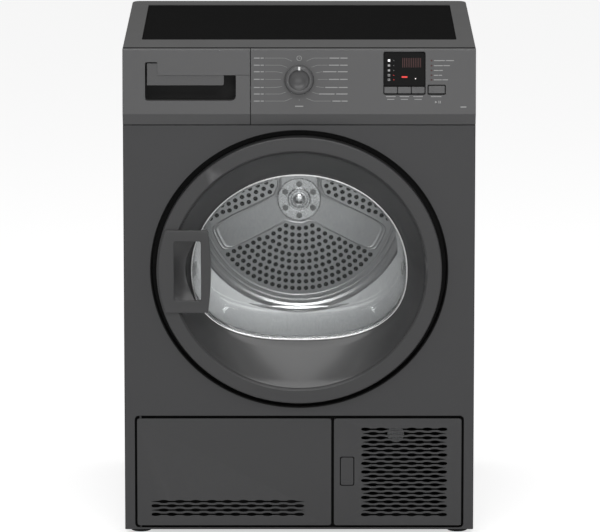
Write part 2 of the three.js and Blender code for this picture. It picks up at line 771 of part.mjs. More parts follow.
// ---- Water drawer ----
function drawerFront() {
  const right = DRAWER_SPLIT_X - SEAM / 2;
  let front = consoleShell(-SIDE, right);
  const pocketBack = POCKET_DEEP;
  const wall = CONSOLE_WALL;
  const tub = box(
    POCKET_LEFT - wall,
    POCKET_RIGHT + wall,
    faceY(POCKET_TOP),
    pocketBack + wall,
    POCKET_BOTTOM - wall,
    POCKET_TOP + wall,
  );
  front = front.add(tub);
  front = front.subtract(
    box(POCKET_LEFT, POCKET_RIGHT, -LIP_OUT - 1, pocketBack, POCKET_BOTTOM, POCKET_TOP),
  );
  const y = faceY(GRIP_BOTTOM) + GRIP_SET_BACK;
  const bar = box(POCKET_LEFT - 1, GRIP_RIGHT, y, y + GRIP_THICK, GRIP_BOTTOM, POCKET_TOP + 1);
  const neck = box(
    TANK_LEFT + 6,
    TANK_RIGHT - 6,
    pocketBack + wall - 1,
    TANK_FRONT - GAP,
    POCKET_BOTTOM + 6,
    POCKET_TOP - 20,
  );
  return join(front, bar, neck);
}

function tankBody() {
  const back = TANK_FRONT + TANK_LENGTH;
  const body = box(TANK_LEFT, TANK_RIGHT, TANK_FRONT, back, TANK_BOTTOM, TANK_TOP);
  const inside = box(
    TANK_LEFT + TANK_WALL,
    TANK_RIGHT - TANK_WALL,
    TANK_FRONT + TANK_WALL,
    back - TANK_WALL,
    TANK_BOTTOM + TANK_WALL,
    TANK_TOP + 1,
  );
  return body.subtract(inside);
}

function tankGuide() {
  const left = TANK_LEFT - GUIDE_GAP;
  const right = TANK_RIGHT + GUIDE_GAP;
  const back = TANK_FRONT + TANK_LENGTH + GUIDE_END_GAP;
  const bottom = TANK_BOTTOM - GAP;
  const trough = box(
    -SIDE_INNER + GAP,
    right + GUIDE_WALL,
    GUIDE_FRONT,
    back + GUIDE_WALL,
    bottom - GUIDE_WALL,
    TANK_TOP,
  );
  return trough.subtract(box(left, right, GUIDE_FRONT - 1, back, bottom, TANK_TOP + 1));
}

// ---- Kick area ----
function slotRows(piece, x0, x1, z0, z1, rows, columns) {
  const pitch = (z1 - z0) / rows;
  const wide = (x1 - x0) / columns;
  const tall = pitch * SLOT_SHARE;
  let cut = piece;
  for (let row = 0; row < rows; row += 1) {
    const bottom = z0 + (row + 0.5) * pitch - tall / 2;
    for (let column = 0; column < columns; column += 1) {
      const left = x0 + column * wide + SLOT_END;
      const right = x0 + (column + 1) * wide - SLOT_END;
      cut = cut.subtract(box(left, right, -1, COVER_THICK + 1, bottom, bottom + tall));
    }
  }
  return cut;
}

function kickCover(x0, x1, rimBack) {
  const shell = plate(roundedShape(x0, x1, KICK_BOTTOM, KICK_TOP, KICK_CORNER_R - 3), 0, rimBack, 2);
  const inner = roundedShape(
    x0 + COVER_RIM,
    x1 - COVER_RIM,
    KICK_BOTTOM + COVER_RIM,
    KICK_TOP - COVER_RIM,
    2,
  );
  return shell.subtract(plate(inner, COVER_THICK, rimBack + 1, 2));
}

function serviceFlap() {
  let flap = kickCover(KICK_LEFT, FLAP_RIGHT, FLAP_RIM_BACK);
  flap = slotRows(flap, FLAP_SLOT_LEFT, FLAP_SLOT_RIGHT, FLAP_SLOT_BOTTOM, FLAP_SLOT_TOP, FLAP_SLOT_ROWS, 2);
  const stub = KICK_GAP + SHEET;
  const root = 8; // held length of each pin inside the flap's rim
  const lower = post(FLAP_PIN_R, FLAP_PIN_X, FLAP_PIN_Y, KICK_BOTTOM - stub, KICK_BOTTOM + root, 12);
  const upper = post(FLAP_PIN_R, FLAP_PIN_X, FLAP_PIN_Y, KICK_TOP - root, KICK_TOP + stub, 12);
  const middle = (KICK_BOTTOM + KICK_TOP) / 2;
  const tongue = box(
    FLAP_RIGHT - TONGUE_WIDE,
    FLAP_RIGHT - COVER_RIM + 1,
    COVER_THICK - 1,
    FLAP_RIM_BACK,
    middle - TONGUE_TALL / 2,
    middle + TONGUE_TALL / 2,
  );
  return join(flap, lower, upper, tongue);
}

function grilleCover() {
  let cover = kickCover(GRILLE_LEFT, KICK_RIGHT, KICK_DEEP - SHEET - GAP);
  cover = slotRows(cover, VENT_LEFT, VENT_RIGHT, VENT_BOTTOM, VENT_TOP, VENT_ROWS, 1);
  const hole = roundedShape(RELEASE_LEFT, RELEASE_RIGHT, RELEASE_BOTTOM, RELEASE_TOP, RELEASE_CORNER_R);
  return cover.subtract(plate(hole, -1, COVER_THICK + 1, 2));
}

function releaseButton() {
  const shape = roundedShape(
    RELEASE_LEFT + GAP,
    RELEASE_RIGHT - GAP,
    RELEASE_BOTTOM + GAP,
    RELEASE_TOP - GAP,
    RELEASE_CORNER_R,
  );
  return plate(shape, -RELEASE_RAISE, RELEASE_DEEP, 2);
}

// ---- Condenser ----
const COVER_LEFT = CORE_LEFT - COVER_GROW;
const COVER_RIGHT = CORE_RIGHT + COVER_GROW;
const COVER_Y = CORE_FRONT - GAP - COVER_PLATE;
const LEVER_X = [COVER_LEFT + LEVER_INSET, COVER_RIGHT - LEVER_INSET];

function condenserCore() {
  let core = box(CORE_LEFT, CORE_RIGHT, CORE_FRONT, CORE_BACK, CORE_BOTTOM, CORE_TOP);
  const y0 = CORE_FRONT + CORE_END;
  const y1 = CORE_BACK - CORE_END;
  const pitch = (CORE_TOP - CORE_BOTTOM - FIN_THICK) / FIN_SPACES;
  for (let i = 0; i < FIN_SPACES; i += 1) {
    const z = CORE_BOTTOM + FIN_THICK + i * pitch;
    core = core.subtract(box(CORE_LEFT - 1, CORE_RIGHT + 1, y0, y1, z, z + pitch - FIN_THICK));
  }
  return core;
}

function condenserCover() {
  const back = COVER_Y + COVER_PLATE;
  const bore = LEVER_PIN_R + SHAFT_GAP;
  let cover = box(COVER_LEFT, COVER_RIGHT, COVER_Y, back, TRAY_DECK + COVER_GROW, CORE_TOP + COVER_GROW);
  for (const x of LEVER_X) {
    cover = cover.subtract(disc(bore, COVER_Y - 1, back + 1, x, LEVER_Z, SMALL_ROUND));
  }
  return cover;
}

// A lever stands upright at rest, with its pin through the cover.
function condenserLever(x) {
  const front = COVER_Y - GAP - LEVER_THICK;
  const bar = box(
    x - LEVER_WIDTH / 2,
    x + LEVER_WIDTH / 2,
    front,
    front + LEVER_THICK,
    LEVER_Z - LEVER_WIDTH / 2,
    LEVER_Z - LEVER_WIDTH / 2 + LEVER_LENGTH,
  );
  return bar.add(disc(LEVER_PIN_R, front + 1, COVER_Y + COVER_PLATE - 1, x, LEVER_Z, SMALL_ROUND));
}

// ---- Drum group ----
function drumShell() {
  const mouth = DRUM_MOUTH_R;
  const inner = DRUM_R - DRUM_WALL;
  return turned(
    [
      [mouth, DRUM_FRONT],
      [DRUM_R, DRUM_FRONT],
      [DRUM_R, DRUM_BACK + DRUM_WALL],
      [inner, DRUM_BACK + DRUM_WALL],
      [inner, DRUM_FRONT + DRUM_WALL],
      [mouth, DRUM_FRONT + DRUM_WALL],
    ],
    0,
    DRUM_Z,
  );
}

function drumBack() {
  return ring(SHAFT_R + GAP, DRUM_R - DRUM_WALL - GAP, DRUM_BACK, DRUM_BACK + DRUM_WALL, 0, DRUM_Z);
}

function drumHub() {
  const back = DRUM_BACK - GAP;
  const front = back - HUB_THICK;
  let hub = disc(HUB_R, front, back, 0, DRUM_Z, MEDIUM_ROUND);
  hub = hub.add(disc(HUB_BOSS_R, front - HUB_BOSS_OUT, back - 1, 0, DRUM_Z, MEDIUM_ROUND));
  hub = hub.add(disc(SHAFT_R, back - 2, SHAFT_END, 0, DRUM_Z, MEDIUM_ROUND));
  for (let i = 0; i < HUB_BOLTS; i += 1) {
    const a = Math.PI / 2 + (i * 2 * Math.PI) / HUB_BOLTS;
    const x = HUB_BOLT_CIRCLE * Math.cos(a);
    const z = DRUM_Z + HUB_BOLT_CIRCLE * Math.sin(a);
    hub = hub.add(disc(HUB_BOLT_R, front - HUB_BOLT_HEAD, back - 1, x, z, 6));
  }
  return hub;
}

function drumLifter(i) {
  const outer = DRUM_R - DRUM_WALL - 2;
  const seat = Math.sqrt(outer ** 2 - (LIFTER_BASE / 2) ** 2);
  const shape = new THREE.Shape();
  shape.moveTo(-LIFTER_BASE / 2, seat);
  shape.lineTo(-LIFTER_TIP / 2, outer - LIFTER_TALL);
  shape.lineTo(LIFTER_TIP / 2, outer - LIFTER_TALL);
  shape.lineTo(LIFTER_BASE / 2, seat);
  const half = Math.asin(LIFTER_BASE / 2 / outer);
  for (let k = 1; k < LIFTER_STEPS; k += 1) {
    const a = THREE.MathUtils.lerp(half, -half, k / LIFTER_STEPS);
    shape.lineTo((outer + LIFTER_SEAT) * Math.sin(a), (outer + LIFTER_SEAT) * Math.cos(a));
  }
  const rib = plate(shape, LIFTER_FRONT, LIFTER_BACK);
  return move(rib.rotate([0, (i * 360) / LIFTER_COUNT, 0]), 0, 0, DRUM_Z);
}

const ROLLER_Z = DRUM_Z - Math.sqrt((DRUM_R + ROLLER_R + GAP) ** 2 - ROLLER_X ** 2);

function drumRoller(x) {
  const back = ROLLER_FRONT + ROLLER_WIDE;
  return ring(ROLLER_PIN_R + SHAFT_GAP, ROLLER_R, ROLLER_FRONT, back, x, ROLLER_Z, MEDIUM_ROUND);
}

function arcPoints(radius, x, z, from, to, steps) {
  return Array.from({ length: steps + 1 }, (_, i) => {
    const a = THREE.MathUtils.lerp(from, to, i / steps);
    return new THREE.Vector2(x + radius * Math.cos(a), z + radius * Math.sin(a));
  });
}

// One side of the belt's loop around the drum and the motor pulley.
function beltLoop(grow) {
  const big = DRUM_R + BELT_GAP;
  const small = PULLEY_R + GAP;
  const far = Math.hypot(MOTOR_X, MOTOR_Z - DRUM_Z);
  const heading = Math.atan2(MOTOR_Z - DRUM_Z, MOTOR_X);
  const spread = Math.acos((big - small) / far);
  const around = 2 * Math.PI - spread;
  return [
    ...arcPoints(big + grow, 0, DRUM_Z, heading + spread, heading + around, ROUND),
    ...arcPoints(small + grow, MOTOR_X, MOTOR_Z, heading - spread, heading + spread, ROUND / 4),
  ];
}

function drumBelt() {
  const shape = new THREE.Shape(beltLoop(BELT_THICK));
  shape.holes.push(new THREE.Path(beltLoop(0)));
  return plate(shape, BELT_FRONT, BELT_FRONT + BELT_WIDE);
}

// ---- Bulkheads ----
function frontBulkhead() {
  const side = SIDE_INNER - GAP;
  const back = BULKHEAD_Y + BULKHEAD_SHEET;
  let wall = box(-side, side, BULKHEAD_Y, back, BULKHEAD_BOTTOM, BULKHEAD_TOP);
  wall = wall.add(ring(COLLAR_R - TUNNEL_WALL, COLLAR_R, back - 1, COLLAR_BACK, 0, DRUM_Z));
  const tunnel = doorPlate(TUNNEL_MIX, TUNNEL_GROW + TUNNEL_WALL, back - 1, TUNNEL_BACK);
  wall = wall.add(tunnel.intersect(disc(COLLAR_R, back - 1, TUNNEL_BACK, 0, DRUM_Z)));
  wall = wall.add(disc(COLLAR_R - 1, TUNNEL_BACK - BULKHEAD_SHEET, TUNNEL_BACK, 0, DRUM_Z));
  const half = FILTER_WIDTH / 2 + FILTER_CLEAR;
  const deep = FILTER_THICK / 2 + FILTER_CLEAR;
  const wide = half + TUNNEL_WALL;
  const y0 = FILTER_Y - deep - TUNNEL_WALL;
  const y1 = FILTER_Y + deep + TUNNEL_WALL;
  wall = wall.add(box(-wide, wide, y0, y1, FILTER_BOTTOM - BULKHEAD_SHEET, FILTER_WELL_TOP));
  wall = wall.subtract(doorPlate(TUNNEL_MIX, TUNNEL_GROW, 0, 2 * TUNNEL_BACK));
  const slotTop = FILTER_WELL_TOP + TUNNEL_BACK;
  wall = wall.subtract(box(-half, half, FILTER_Y - deep, FILTER_Y + deep, FILTER_BOTTOM - GAP, slotTop));
  wall = wall.subtract(catchSlot(0, back + 1));
  for (const x of [DRAIN_HOLE_IN - COLLAR_R, COLLAR_R - DRAIN_HOLE_IN]) {
    wall = wall.subtract(disc(DRAIN_HOLE_R, back + 1, 2 * TUNNEL_BACK, x, DRUM_Z, SMALL_ROUND));
  }
  const pinEnd = ROLLER_FRONT + ROLLER_WIDE + 4;
  for (const x of [-ROLLER_X, ROLLER_X]) {
    wall = wall.add(disc(ROLLER_BOSS_R, back - 1, ROLLER_FRONT - GAP, x, ROLLER_Z, SMALL_ROUND));
    wall = wall.add(disc(ROLLER_PIN_R, back - 1, pinEnd, x, ROLLER_Z, SMALL_ROUND));
  }
  return wall;
}

function doorGasket() {
  const y1 = BULKHEAD_Y - GAP;
  const outer = doorPlate(SEAL_MIX, SEAL_GROW + SEAL_WIDTH, SEAL_Y, y1);
  return outer.subtract(doorPlate(SEAL_MIX, SEAL_GROW, SEAL_Y - 1, y1 + 1));
}

function feltRing() {
  return ring(COLLAR_R + GAP, COLLAR_R + GAP + FELT_THICK, DRUM_FRONT - 4, DRUM_FRONT + 12, 0, DRUM_Z, ROUND);
}

function lintFilter() {
  const y0 = FILTER_Y - FILTER_THICK / 2;
  const y1 = FILTER_Y + FILTER_THICK / 2;
  const half = FILTER_WIDTH / 2;
  const inner = half - FILTER_RIM;
  const body = box(-half, half, y0, y1, FILTER_BOTTOM, FILTER_TOP);
  return body.subtract(box(-inner, inner, y0 + 2, y1 - 2, FILTER_BOTTOM + FILTER_RIM, FILTER_TOP + 1));
}

function rearBulkhead() {
  const side = SIDE_INNER - GAP;
  const y1 = REAR_BULKHEAD_Y + REAR_BULKHEAD_SHEET;
  const guideRight = TANK_RIGHT + GUIDE_GAP + GUIDE_WALL;
  let wall = box(-side, side, REAR_BULKHEAD_Y, y1, TRAY_TOP + GAP, TANK_BOTTOM - 8);
  const x0 = guideRight + GUIDE_GAP;
  wall = wall.add(box(x0, side, REAR_BULKHEAD_Y, y1, TANK_BOTTOM - 9, WORKTOP_BOTTOM - GAP));
  wall = wall.subtract(disc(BEARING_R, 0, BACK_FACE, 0, DRUM_Z, MEDIUM_ROUND));
  for (let i = 0; i < VENT_HOLES; i += 1) {
    const a = (i * 2 * Math.PI) / VENT_HOLES;
    const x = VENT_HOLE_CIRCLE * Math.cos(a);
    const z = DRUM_Z + VENT_HOLE_CIRCLE * Math.sin(a);
    wall = wall.subtract(disc(VENT_HOLE_R, REAR_BULKHEAD_Y - 1, y1 + 1, x, z, SMALL_ROUND));
  }
  return wall;
}

function rearBearing() {
  const y0 = REAR_BULKHEAD_Y - 3;
  return ring(SHAFT_R + SHAFT_GAP, BEARING_R - GAP, y0, REAR_BULKHEAD_Y + 7, 0, DRUM_Z, MEDIUM_ROUND);
}

function heaterDuct() {
  const y0 = REAR_BULKHEAD_Y + REAR_BULKHEAD_SHEET + GAP;
  return turned(
    [
      [DUCT_R + DUCT_RIM, y0],
      [DUCT_R + DUCT_RIM, y0 + DUCT_WALL],
      [DUCT_R, y0 + DUCT_WALL],
      [DUCT_R - DUCT_TAPER, DUCT_BACK],
      [DUCT_EYE_R, DUCT_BACK],
      [DUCT_EYE_R, DUCT_BACK - DUCT_WALL],
      [DUCT_R - DUCT_TAPER - DUCT_WALL, DUCT_BACK - DUCT_WALL],
      [DUCT_R - DUCT_WALL, y0],
    ],
    0,
    DRUM_Z,
  );
}

// ---- Motor and fan ----
function motorStator() {
  const bore = MOTOR_SHAFT_R + SHAFT_GAP;
  const room = ROTOR_R + 1.5;
  const can = turned(
    [
      [bore, STATOR_FRONT],
      [STATOR_R, STATOR_FRONT],
      [STATOR_R, STATOR_BACK],
      [bore, STATOR_BACK],
      [bore, STATOR_BACK - STATOR_CAP],
      [room, STATOR_BACK - STATOR_CAP],
      [room, STATOR_FRONT + STATOR_CAP],
      [bore, STATOR_FRONT + STATOR_CAP],
    ],
    MOTOR_X,
    MOTOR_Z,
    MEDIUM_ROUND,
  );
  const x0 = MOTOR_X - STATOR_FOOT_HALF;
  const x1 = MOTOR_X + STATOR_FOOT_HALF;
  const feet = STATOR_FEET.map((y) => box(x0, x1, y, y + STATOR_FOOT_LONG, TRAY_DECK + GAP, STATOR_FOOT_TOP));
  return join(can, ...feet);
}

function motorRotor() {
  const r = MOTOR_SHAFT_R;
  const lip = PULLEY_R + PULLEY_LIP;
  const front = BELT_FRONT - 2;
  const back = BELT_FRONT + BELT_WIDE + 2;
  const rotorFront = STATOR_FRONT + STATOR_CAP + ROTOR_END_GAP;
  const rotorBack = STATOR_BACK - STATOR_CAP - ROTOR_END_GAP;
  return spindle(
    [
      [0, front - PULLEY_CHEEK],
      [lip, front - PULLEY_CHEEK],
      [lip, front],
      [PULLEY_R, front],
      [PULLEY_R, back],
      [lip, back],
      [lip, back + PULLEY_CHEEK],
      [r, back + PULLEY_CHEEK],
      [r, rotorFront],
      [ROTOR_R, rotorFront],
      [ROTOR_R, rotorBack],
      [r, rotorBack],
      [r, FAN_BACK - 2],
      [0, FAN_BACK - 2],
    ],
    MOTOR_X,
    MOTOR_Z,
  );
}

function fanWheel() {
  const bore = MOTOR_SHAFT_R + FAN_BORE_GAP;
  let wheel = ring(bore, FAN_R, FAN_BACK - 3, FAN_BACK, MOTOR_X, MOTOR_Z, MEDIUM_ROUND);
  wheel = wheel.add(ring(bore, FAN_HUB_R, FAN_FRONT + 4, FAN_BACK, MOTOR_X, MOTOR_Z, MEDIUM_ROUND));
  for (let i = 0; i < FAN_BLADES; i += 1) {
    const blade = box(FAN_R - 26, FAN_R - 2, FAN_FRONT, FAN_BACK - 1, -1, 1);
    wheel = wheel.add(move(blade.rotate([0, (i * 360) / FAN_BLADES, 0]), MOTOR_X, 0, MOTOR_Z));
  }
  return wheel;
}

function fanHousing() {
  const inner = FAN_R + FAN_HOUSE_GAP;
  const outer = inner + FAN_HOUSE_WALL;
  const y0 = FAN_FRONT - 5;
  const y1 = FAN_BACK + 5;
  const bell = turned(
    [
      [FAN_MOUTH_R, y0],
      [outer, y0],
      [outer, y1 + FAN_HOUSE_WALL],
      [FAN_EYE_R, y1 + FAN_HOUSE_WALL],
      [FAN_EYE_R, y1],
      [inner, y1],
      [inner, y0 + FAN_HOUSE_WALL],
      [FAN_MOUTH_R, y0 + FAN_HOUSE_WALL],
    ],
    MOTOR_X,
    MOTOR_Z,
    MEDIUM_ROUND,
  );
  const stand = box(MOTOR_X - 30, MOTOR_X + 30, y0, y1, TRAY_DECK + GAP, MOTOR_Z - inner - 0.5);
  return bell.add(stand);
}

function drainPump() {
  const top = TRAY_DECK + PUMP_TALL;
  const body = post(PUMP_R, PUMP_X, PUMP_Y, TRAY_DECK + GAP, top, MEDIUM_ROUND);
  return body.add(post(PUMP_R / 2, PUMP_X, PUMP_Y, top - 1, top + PUMP_SPOUT));
}

function cableGland() {
  const flange = disc(GLAND_R + 4, REAR_FRONT - GAP - 3, REAR_FRONT - GAP, GLAND_X, GLAND_Z, MEDIUM_ROUND);
  const barrel = disc(GLAND_R - GAP, REAR_FRONT - 2, BACK_FACE - 0.2, GLAND_X, GLAND_Z, MEDIUM_ROUND);
  const bore = disc(GLAND_R - 4, REAR_FRONT - 9, BACK_FACE + 1, GLAND_X, GLAND_Z, SMALL_ROUND);
  return join(flange, barrel).subtract(bore);
}

// ---- Door ----
function hingeNotch(y0, y1) {
  return box(HINGE_NOTCH_X, RING_RX + 5, y0, y1, PIVOT_Z - HINGE_NOTCH, PIVOT_Z + HINGE_NOTCH);
}

function doorFrame() {
  const band = turned(
    [
      [RING_INNER_RX, -RING_INNER_OUT],
      [RING_INNER_RX + 4, -RING_OUT],
      [RING_RX - RING_CHAMFER, -RING_OUT],
      [RING_RX, -RING_OUT + RING_CHAMFER - 1],
      [RING_RX, RING_SKIRT_BACK],
      [RING_RX - RING_WALL, RING_SKIRT_BACK],
      [RING_RX - RING_WALL, -RING_OUT + RING_CHAMFER],
      [RING_RX - RING_CHAMFER - 1, -RING_OUT + RING_WALL],
      [RING_INNER_RX, -RING_OUT + RING_WALL + 1],
    ],
    0,
    DOOR_Z,
    ROUND,
    OVAL,
  );
  return band.subtract(hingeNotch(-RING_OUT + RING_CHAMFER + 1, RECESS_DEEP));
}

function doorFunnel() {
  const front = -RING_INNER_OUT;
  const outer = doorLoft([
    [front, 0, -GAP],
    [SEAL_Y, SEAL_MIX, FUNNEL_WALL],
    [WINDOW_Y, 1, FUNNEL_WALL],
  ]);
  const inner = doorLoft([
    [front - 1, 0, -FUNNEL_WALL],
    [SEAL_Y, SEAL_MIX, 0],
    [WINDOW_Y + 1, 1, 0],
  ]);
  return outer.subtract(inner);
}

function doorGlass() {
  const y0 = WINDOW_Y + GAP;
  const outer = doorLoft([
    [y0 + 4, 1, -1],
    [GLASS_BACK - 6, 1, -GLASS_TAPER],
    [GLASS_BACK, 1, -GLASS_TAPER - 8],
  ]);
  const inner = doorLoft([
    [y0 - 1, 1, -1 - GLASS_WALL],
    [GLASS_BACK - 6 - GLASS_WALL, 1, -GLASS_TAPER - GLASS_WALL],
    [GLASS_BACK - GLASS_WALL, 1, -GLASS_TAPER - 8 - GLASS_WALL],
  ]);
  const flange = doorPlate(1, GLASS_FLANGE, y0, y0 + 4.1);
  return outer.add(flange).subtract(inner);
}

function doorBackRing() {
  const y1 = SEAL_Y - GAP;
  const y0 = y1 - BACK_RING_THICK;
  const rx = RING_RX - RING_WALL - GAP;
  let panel = disc(rx, y0, y1, 0, DOOR_Z, ROUND, OVAL);
  panel = panel.subtract(doorPlate(mixAt(y0), FUNNEL_WALL + GAP, y0 - 1, y1 + 1));
  panel = panel.subtract(hingeNotch(0, RECESS_DEEP));
  return panel;
}

function doorHandle() {
  const y0 = -RING_OUT - 0.6;
  const middle = (HANDLE_BOTTOM + HANDLE_TOP) / 2;
  const shape = new THREE.Shape();
  shape.moveTo(HANDLE_LEFT, HANDLE_BOTTOM);
  shape.lineTo(HANDLE_RIGHT, HANDLE_BOTTOM);
  shape.quadraticCurveTo(HANDLE_RIGHT + 2 * HANDLE_BULGE, middle, HANDLE_RIGHT, HANDLE_TOP);
  shape.lineTo(HANDLE_LEFT, HANDLE_TOP);
  const window = roundedShape(HOLE_LEFT, HOLE_RIGHT, HOLE_BOTTOM, HOLE_TOP, 6);
  const front = plate(shape, y0 - HANDLE_THICK, y0).intersect(
    disc(RING_RX - 2, y0 - HANDLE_THICK - 1, y0 + 1, 0, DOOR_Z, ROUND, OVAL),
  );
  return front.subtract(plate(window, y0 - HANDLE_THICK - 1, y0 + 1, 3));
}

function hingeLeaf() {
  const z0 = PIVOT_Z - HINGE_HALF;
  const z1 = PIVOT_Z + HINGE_HALF;
  const y0 = -RING_OUT + RING_WALL + 1 + GAP;
  const leaf = box(HINGE_X - LEAF_LENGTH, HINGE_X, y0, y0 + LEAF_THICK, z0, z1);
  const eye = post(HINGE_EYE_R - 0.4, HINGE_X, HINGE_Y, z0, z1);
  const bore = post(HINGE_PIN_R + SHAFT_GAP, HINGE_X, HINGE_Y, z0 - 1, z1 + 1);
  return leaf.add(eye).subtract(bore);
}

// Arms reach from the dish floor to the pin, keeping clear of the ring's edge as the door swings past them.
function hingeBracket() {
  const floorY = RECESS_DEEP - SHEET - GAP;
  const near = PIVOT_Z - HINGE_HALF - GAP - HINGE_ARM;
  const far = PIVOT_Z + HINGE_HALF + GAP;
  const outline = [
    [3.4, HINGE_Y],
    [-10, HINGE_Y + 5.5],
    [-8, floorY],
    [-ARM_REACH, floorY],
    [-ARM_REACH, HINGE_Y + 3],
    [-3, HINGE_Y - 3.6],
    [2, HINGE_Y - 3.2],
  ];
  const arm = new THREE.Shape(outline.map(([x, y]) => new THREE.Vector2(HINGE_X + x, y)));
  const pin = post(HINGE_PIN_R, HINGE_X, HINGE_Y, near, far + HINGE_ARM);
  const arms = [near, far].map((z) => slab(arm, z, z + HINGE_ARM));
  const x0 = HINGE_X - ARM_REACH;
  const base = box(x0, x0 + BRACKET_WIDE, floorY - LEAF_THICK, floorY, near, far + HINGE_ARM);
  return join(pin, ...arms, base);
}

function doorCatch() {
  const z0 = CATCH_Z - CATCH_HEIGHT / 2;
  const z1 = CATCH_Z + CATCH_HEIGHT / 2;
  const stem = box(CATCH_X - CATCH_WIDTH / 2, CATCH_X + CATCH_WIDTH / 2, SEAL_Y, CATCH_BACK, z0, z1);
  const pad = box(CATCH_X - 7, CATCH_X + 7, SEAL_Y, SEAL_Y + 2.5, z0 - 3, z1 + 3);
  const eye = box(CATCH_X - 10, CATCH_X + 10, CATCH_BACK - 8, CATCH_BACK - 3, z0 + 4, z1 - 4);
  return join(stem, pad).subtract(eye);
}

function doorLatch() {
  const front = BULKHEAD_Y + BULKHEAD_SHEET + GAP;
  const wide = CATCH_WIDTH / 2 + SLOT_CLEAR + LATCH_WALL;
  const tall = CATCH_HEIGHT / 2 + SLOT_CLEAR + LATCH_WALL;
  const housing = box(CATCH_X - wide, CATCH_X + wide, front, LATCH_BACK, CATCH_Z - tall, CATCH_Z + tall);
  return housing.subtract(catchSlot(front - 1, LATCH_BACK - LATCH_WALL));
}

// ---- Assembly ----
put("base_tray", baseTray(), DARK, 0.6);
put("side_panel_left", sidePanel(-1), GREY, 0.45);
put("side_panel_right", sidePanel(1), GREY, 0.45);
put("front_panel", frontPanel(), GREY, 0.45);
put("rear_panel", rearPanel(), STEEL, 0.5, 0.8);
put("worktop_frame", worktopFrame(), GREY, 0.5);
put("worktop_inset", worktopInset(), BLACK, 0.4);
put("console_fascia", fascia(), GREY, 0.45);
put("display_window", displayWindow(), BLACK, 0.15);
put("control_board", controlBoard(), 0x2f5d3a, 0.6);
put("front_bulkhead", frontBulkhead(), DARK, 0.6);
put("door_gasket", doorGasket(), BLACK, 0.8);
put("drum_felt_ring", feltRing(), 0x8c8474, 0.95);
put("rear_bulkhead", rearBulkhead(), STEEL, 0.5, 0.8);
put("rear_bearing", rearBearing(), PALE, 0.4);
put("heater_duct", heaterDuct(), STEEL, 0.5, 0.8);
put("drum_belt", drumBelt(), BLACK, 0.8);
put("motor_stator", motorStator(), STEEL, 0.5, 0.8);
put("condenser_core", condenserCore(), STEEL, 0.4, 0.8);
put("condenser_cover", condenserCover(), DARK, 0.6);
put("fan_housing", fanHousing(), DARK, 0.6);
put("drain_pump", drainPump(), DARK, 0.6);
put("lint_filter", lintFilter(), PALE, 0.6);
put("door_latch", doorLatch(), DARK, 0.6);
put("grille_cover", grilleCover(), GREY, 0.5);
put("cable_gland", cableGland(), BLACK, 0.7);
put("hinge_bracket", hingeBracket(), STEEL, 0.4, 0.9);
put("tank_guide", tankGuide(), DARK, 0.6);

put("door_frame", doorFrame(), GREY, 0.4);
put("door_funnel", doorFunnel(), GREY, 0.3);
put("door_glass", doorGlass(), PALE, 0.05);
put("door_back_ring", doorBackRing(), DARK, 0.6);
put("door_handle", doorHandle(), GREY, 0.4);
put("hinge_leaf", hingeLeaf(), STEEL, 0.4, 0.9);
put("door_catch", doorCatch(), DARK, 0.6);

put("drum_shell", drumShell(), STEEL, 0.3, 0.9);
put("drum_back", drumBack(), STEEL, 0.3, 0.9);
put("drum_hub", drumHub(), STEEL, 0.3, 0.9);
for (let i = 0; i < LIFTER_COUNT; i += 1) {
  put(`drum_lifter_${i + 1}`, drumLifter(i), PALE, 0.5);
}
put("drum_roller_left", drumRoller(-ROLLER_X), DARK, 0.7);
put("drum_roller_right", drumRoller(ROLLER_X), DARK, 0.7);
put("motor_rotor", motorRotor(), STEEL, 0.4, 0.9);
put("fan_wheel", fanWheel(), DARK, 0.6);

put("program_knob", knob(), GREY, 0.4);
for (let i = 0; i < OPTION_COUNT; i += 1) {
  const [x0, x1] = optionSpan(i);
  put(`option_button_${i + 1}`, faceButton(x0, x1, OPTION_BOTTOM, OPTION_TOP), GREY, 0.45);
}
put("start_button", faceButton(START_LEFT + GAP, START_RIGHT - GAP, OPTION_BOTTOM, START_TOP), GREY, 0.45);
put("release_button", releaseButton(), GREY, 0.45);
put("service_flap", serviceFlap(), GREY, 0.5);
put("tank_front", drawerFront(), GREY, 0.45);
put("tank_body", tankBody(), PALE, 0.5);
put("condenser_lever_left", condenserLever(LEVER_X[0]), DARK, 0.5);
put("condenser_lever_right", condenserLever(LEVER_X[1]), DARK, 0.5);
put("foot_front_left", foot(-FOOT_X, FOOT_FRONT_Y), BLACK, 0.8);
put("foot_front_right", foot(FOOT_X, FOOT_FRONT_Y), BLACK, 0.8);
put("foot_back_left", foot(-FOOT_X, FOOT_BACK_Y), BLACK, 0.8);
put("foot_back_right", foot(FOOT_X, FOOT_BACK_Y), BLACK, 0.8);

const whole = new THREE.Box3().setFromObject(root);
root.position.set(0, -(whole.min.y + whole.max.y) / 2, -whole.min.z);

export default root;
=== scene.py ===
import math
from contextlib import contextmanager

import bpy
import numpy as np
from mathutils import Matrix, Vector


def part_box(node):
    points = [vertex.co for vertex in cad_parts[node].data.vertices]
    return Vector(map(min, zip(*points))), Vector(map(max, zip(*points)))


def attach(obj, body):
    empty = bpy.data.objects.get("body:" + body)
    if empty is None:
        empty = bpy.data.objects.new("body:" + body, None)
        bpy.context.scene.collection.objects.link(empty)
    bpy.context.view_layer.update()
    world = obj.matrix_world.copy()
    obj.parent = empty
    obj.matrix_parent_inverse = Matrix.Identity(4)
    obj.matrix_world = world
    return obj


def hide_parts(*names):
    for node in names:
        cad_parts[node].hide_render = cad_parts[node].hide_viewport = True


bl_info = {
    "name": "Clothes Dryer Pieces",
    "version": (1, 0, 0),
    "blender": (4, 5, 0),
    "location": "3D View > Sidebar > Dryer",
    "description": "Builds the visible pieces of a condenser clothes dryer around its solid frame",
    "category": "Mesh",
}

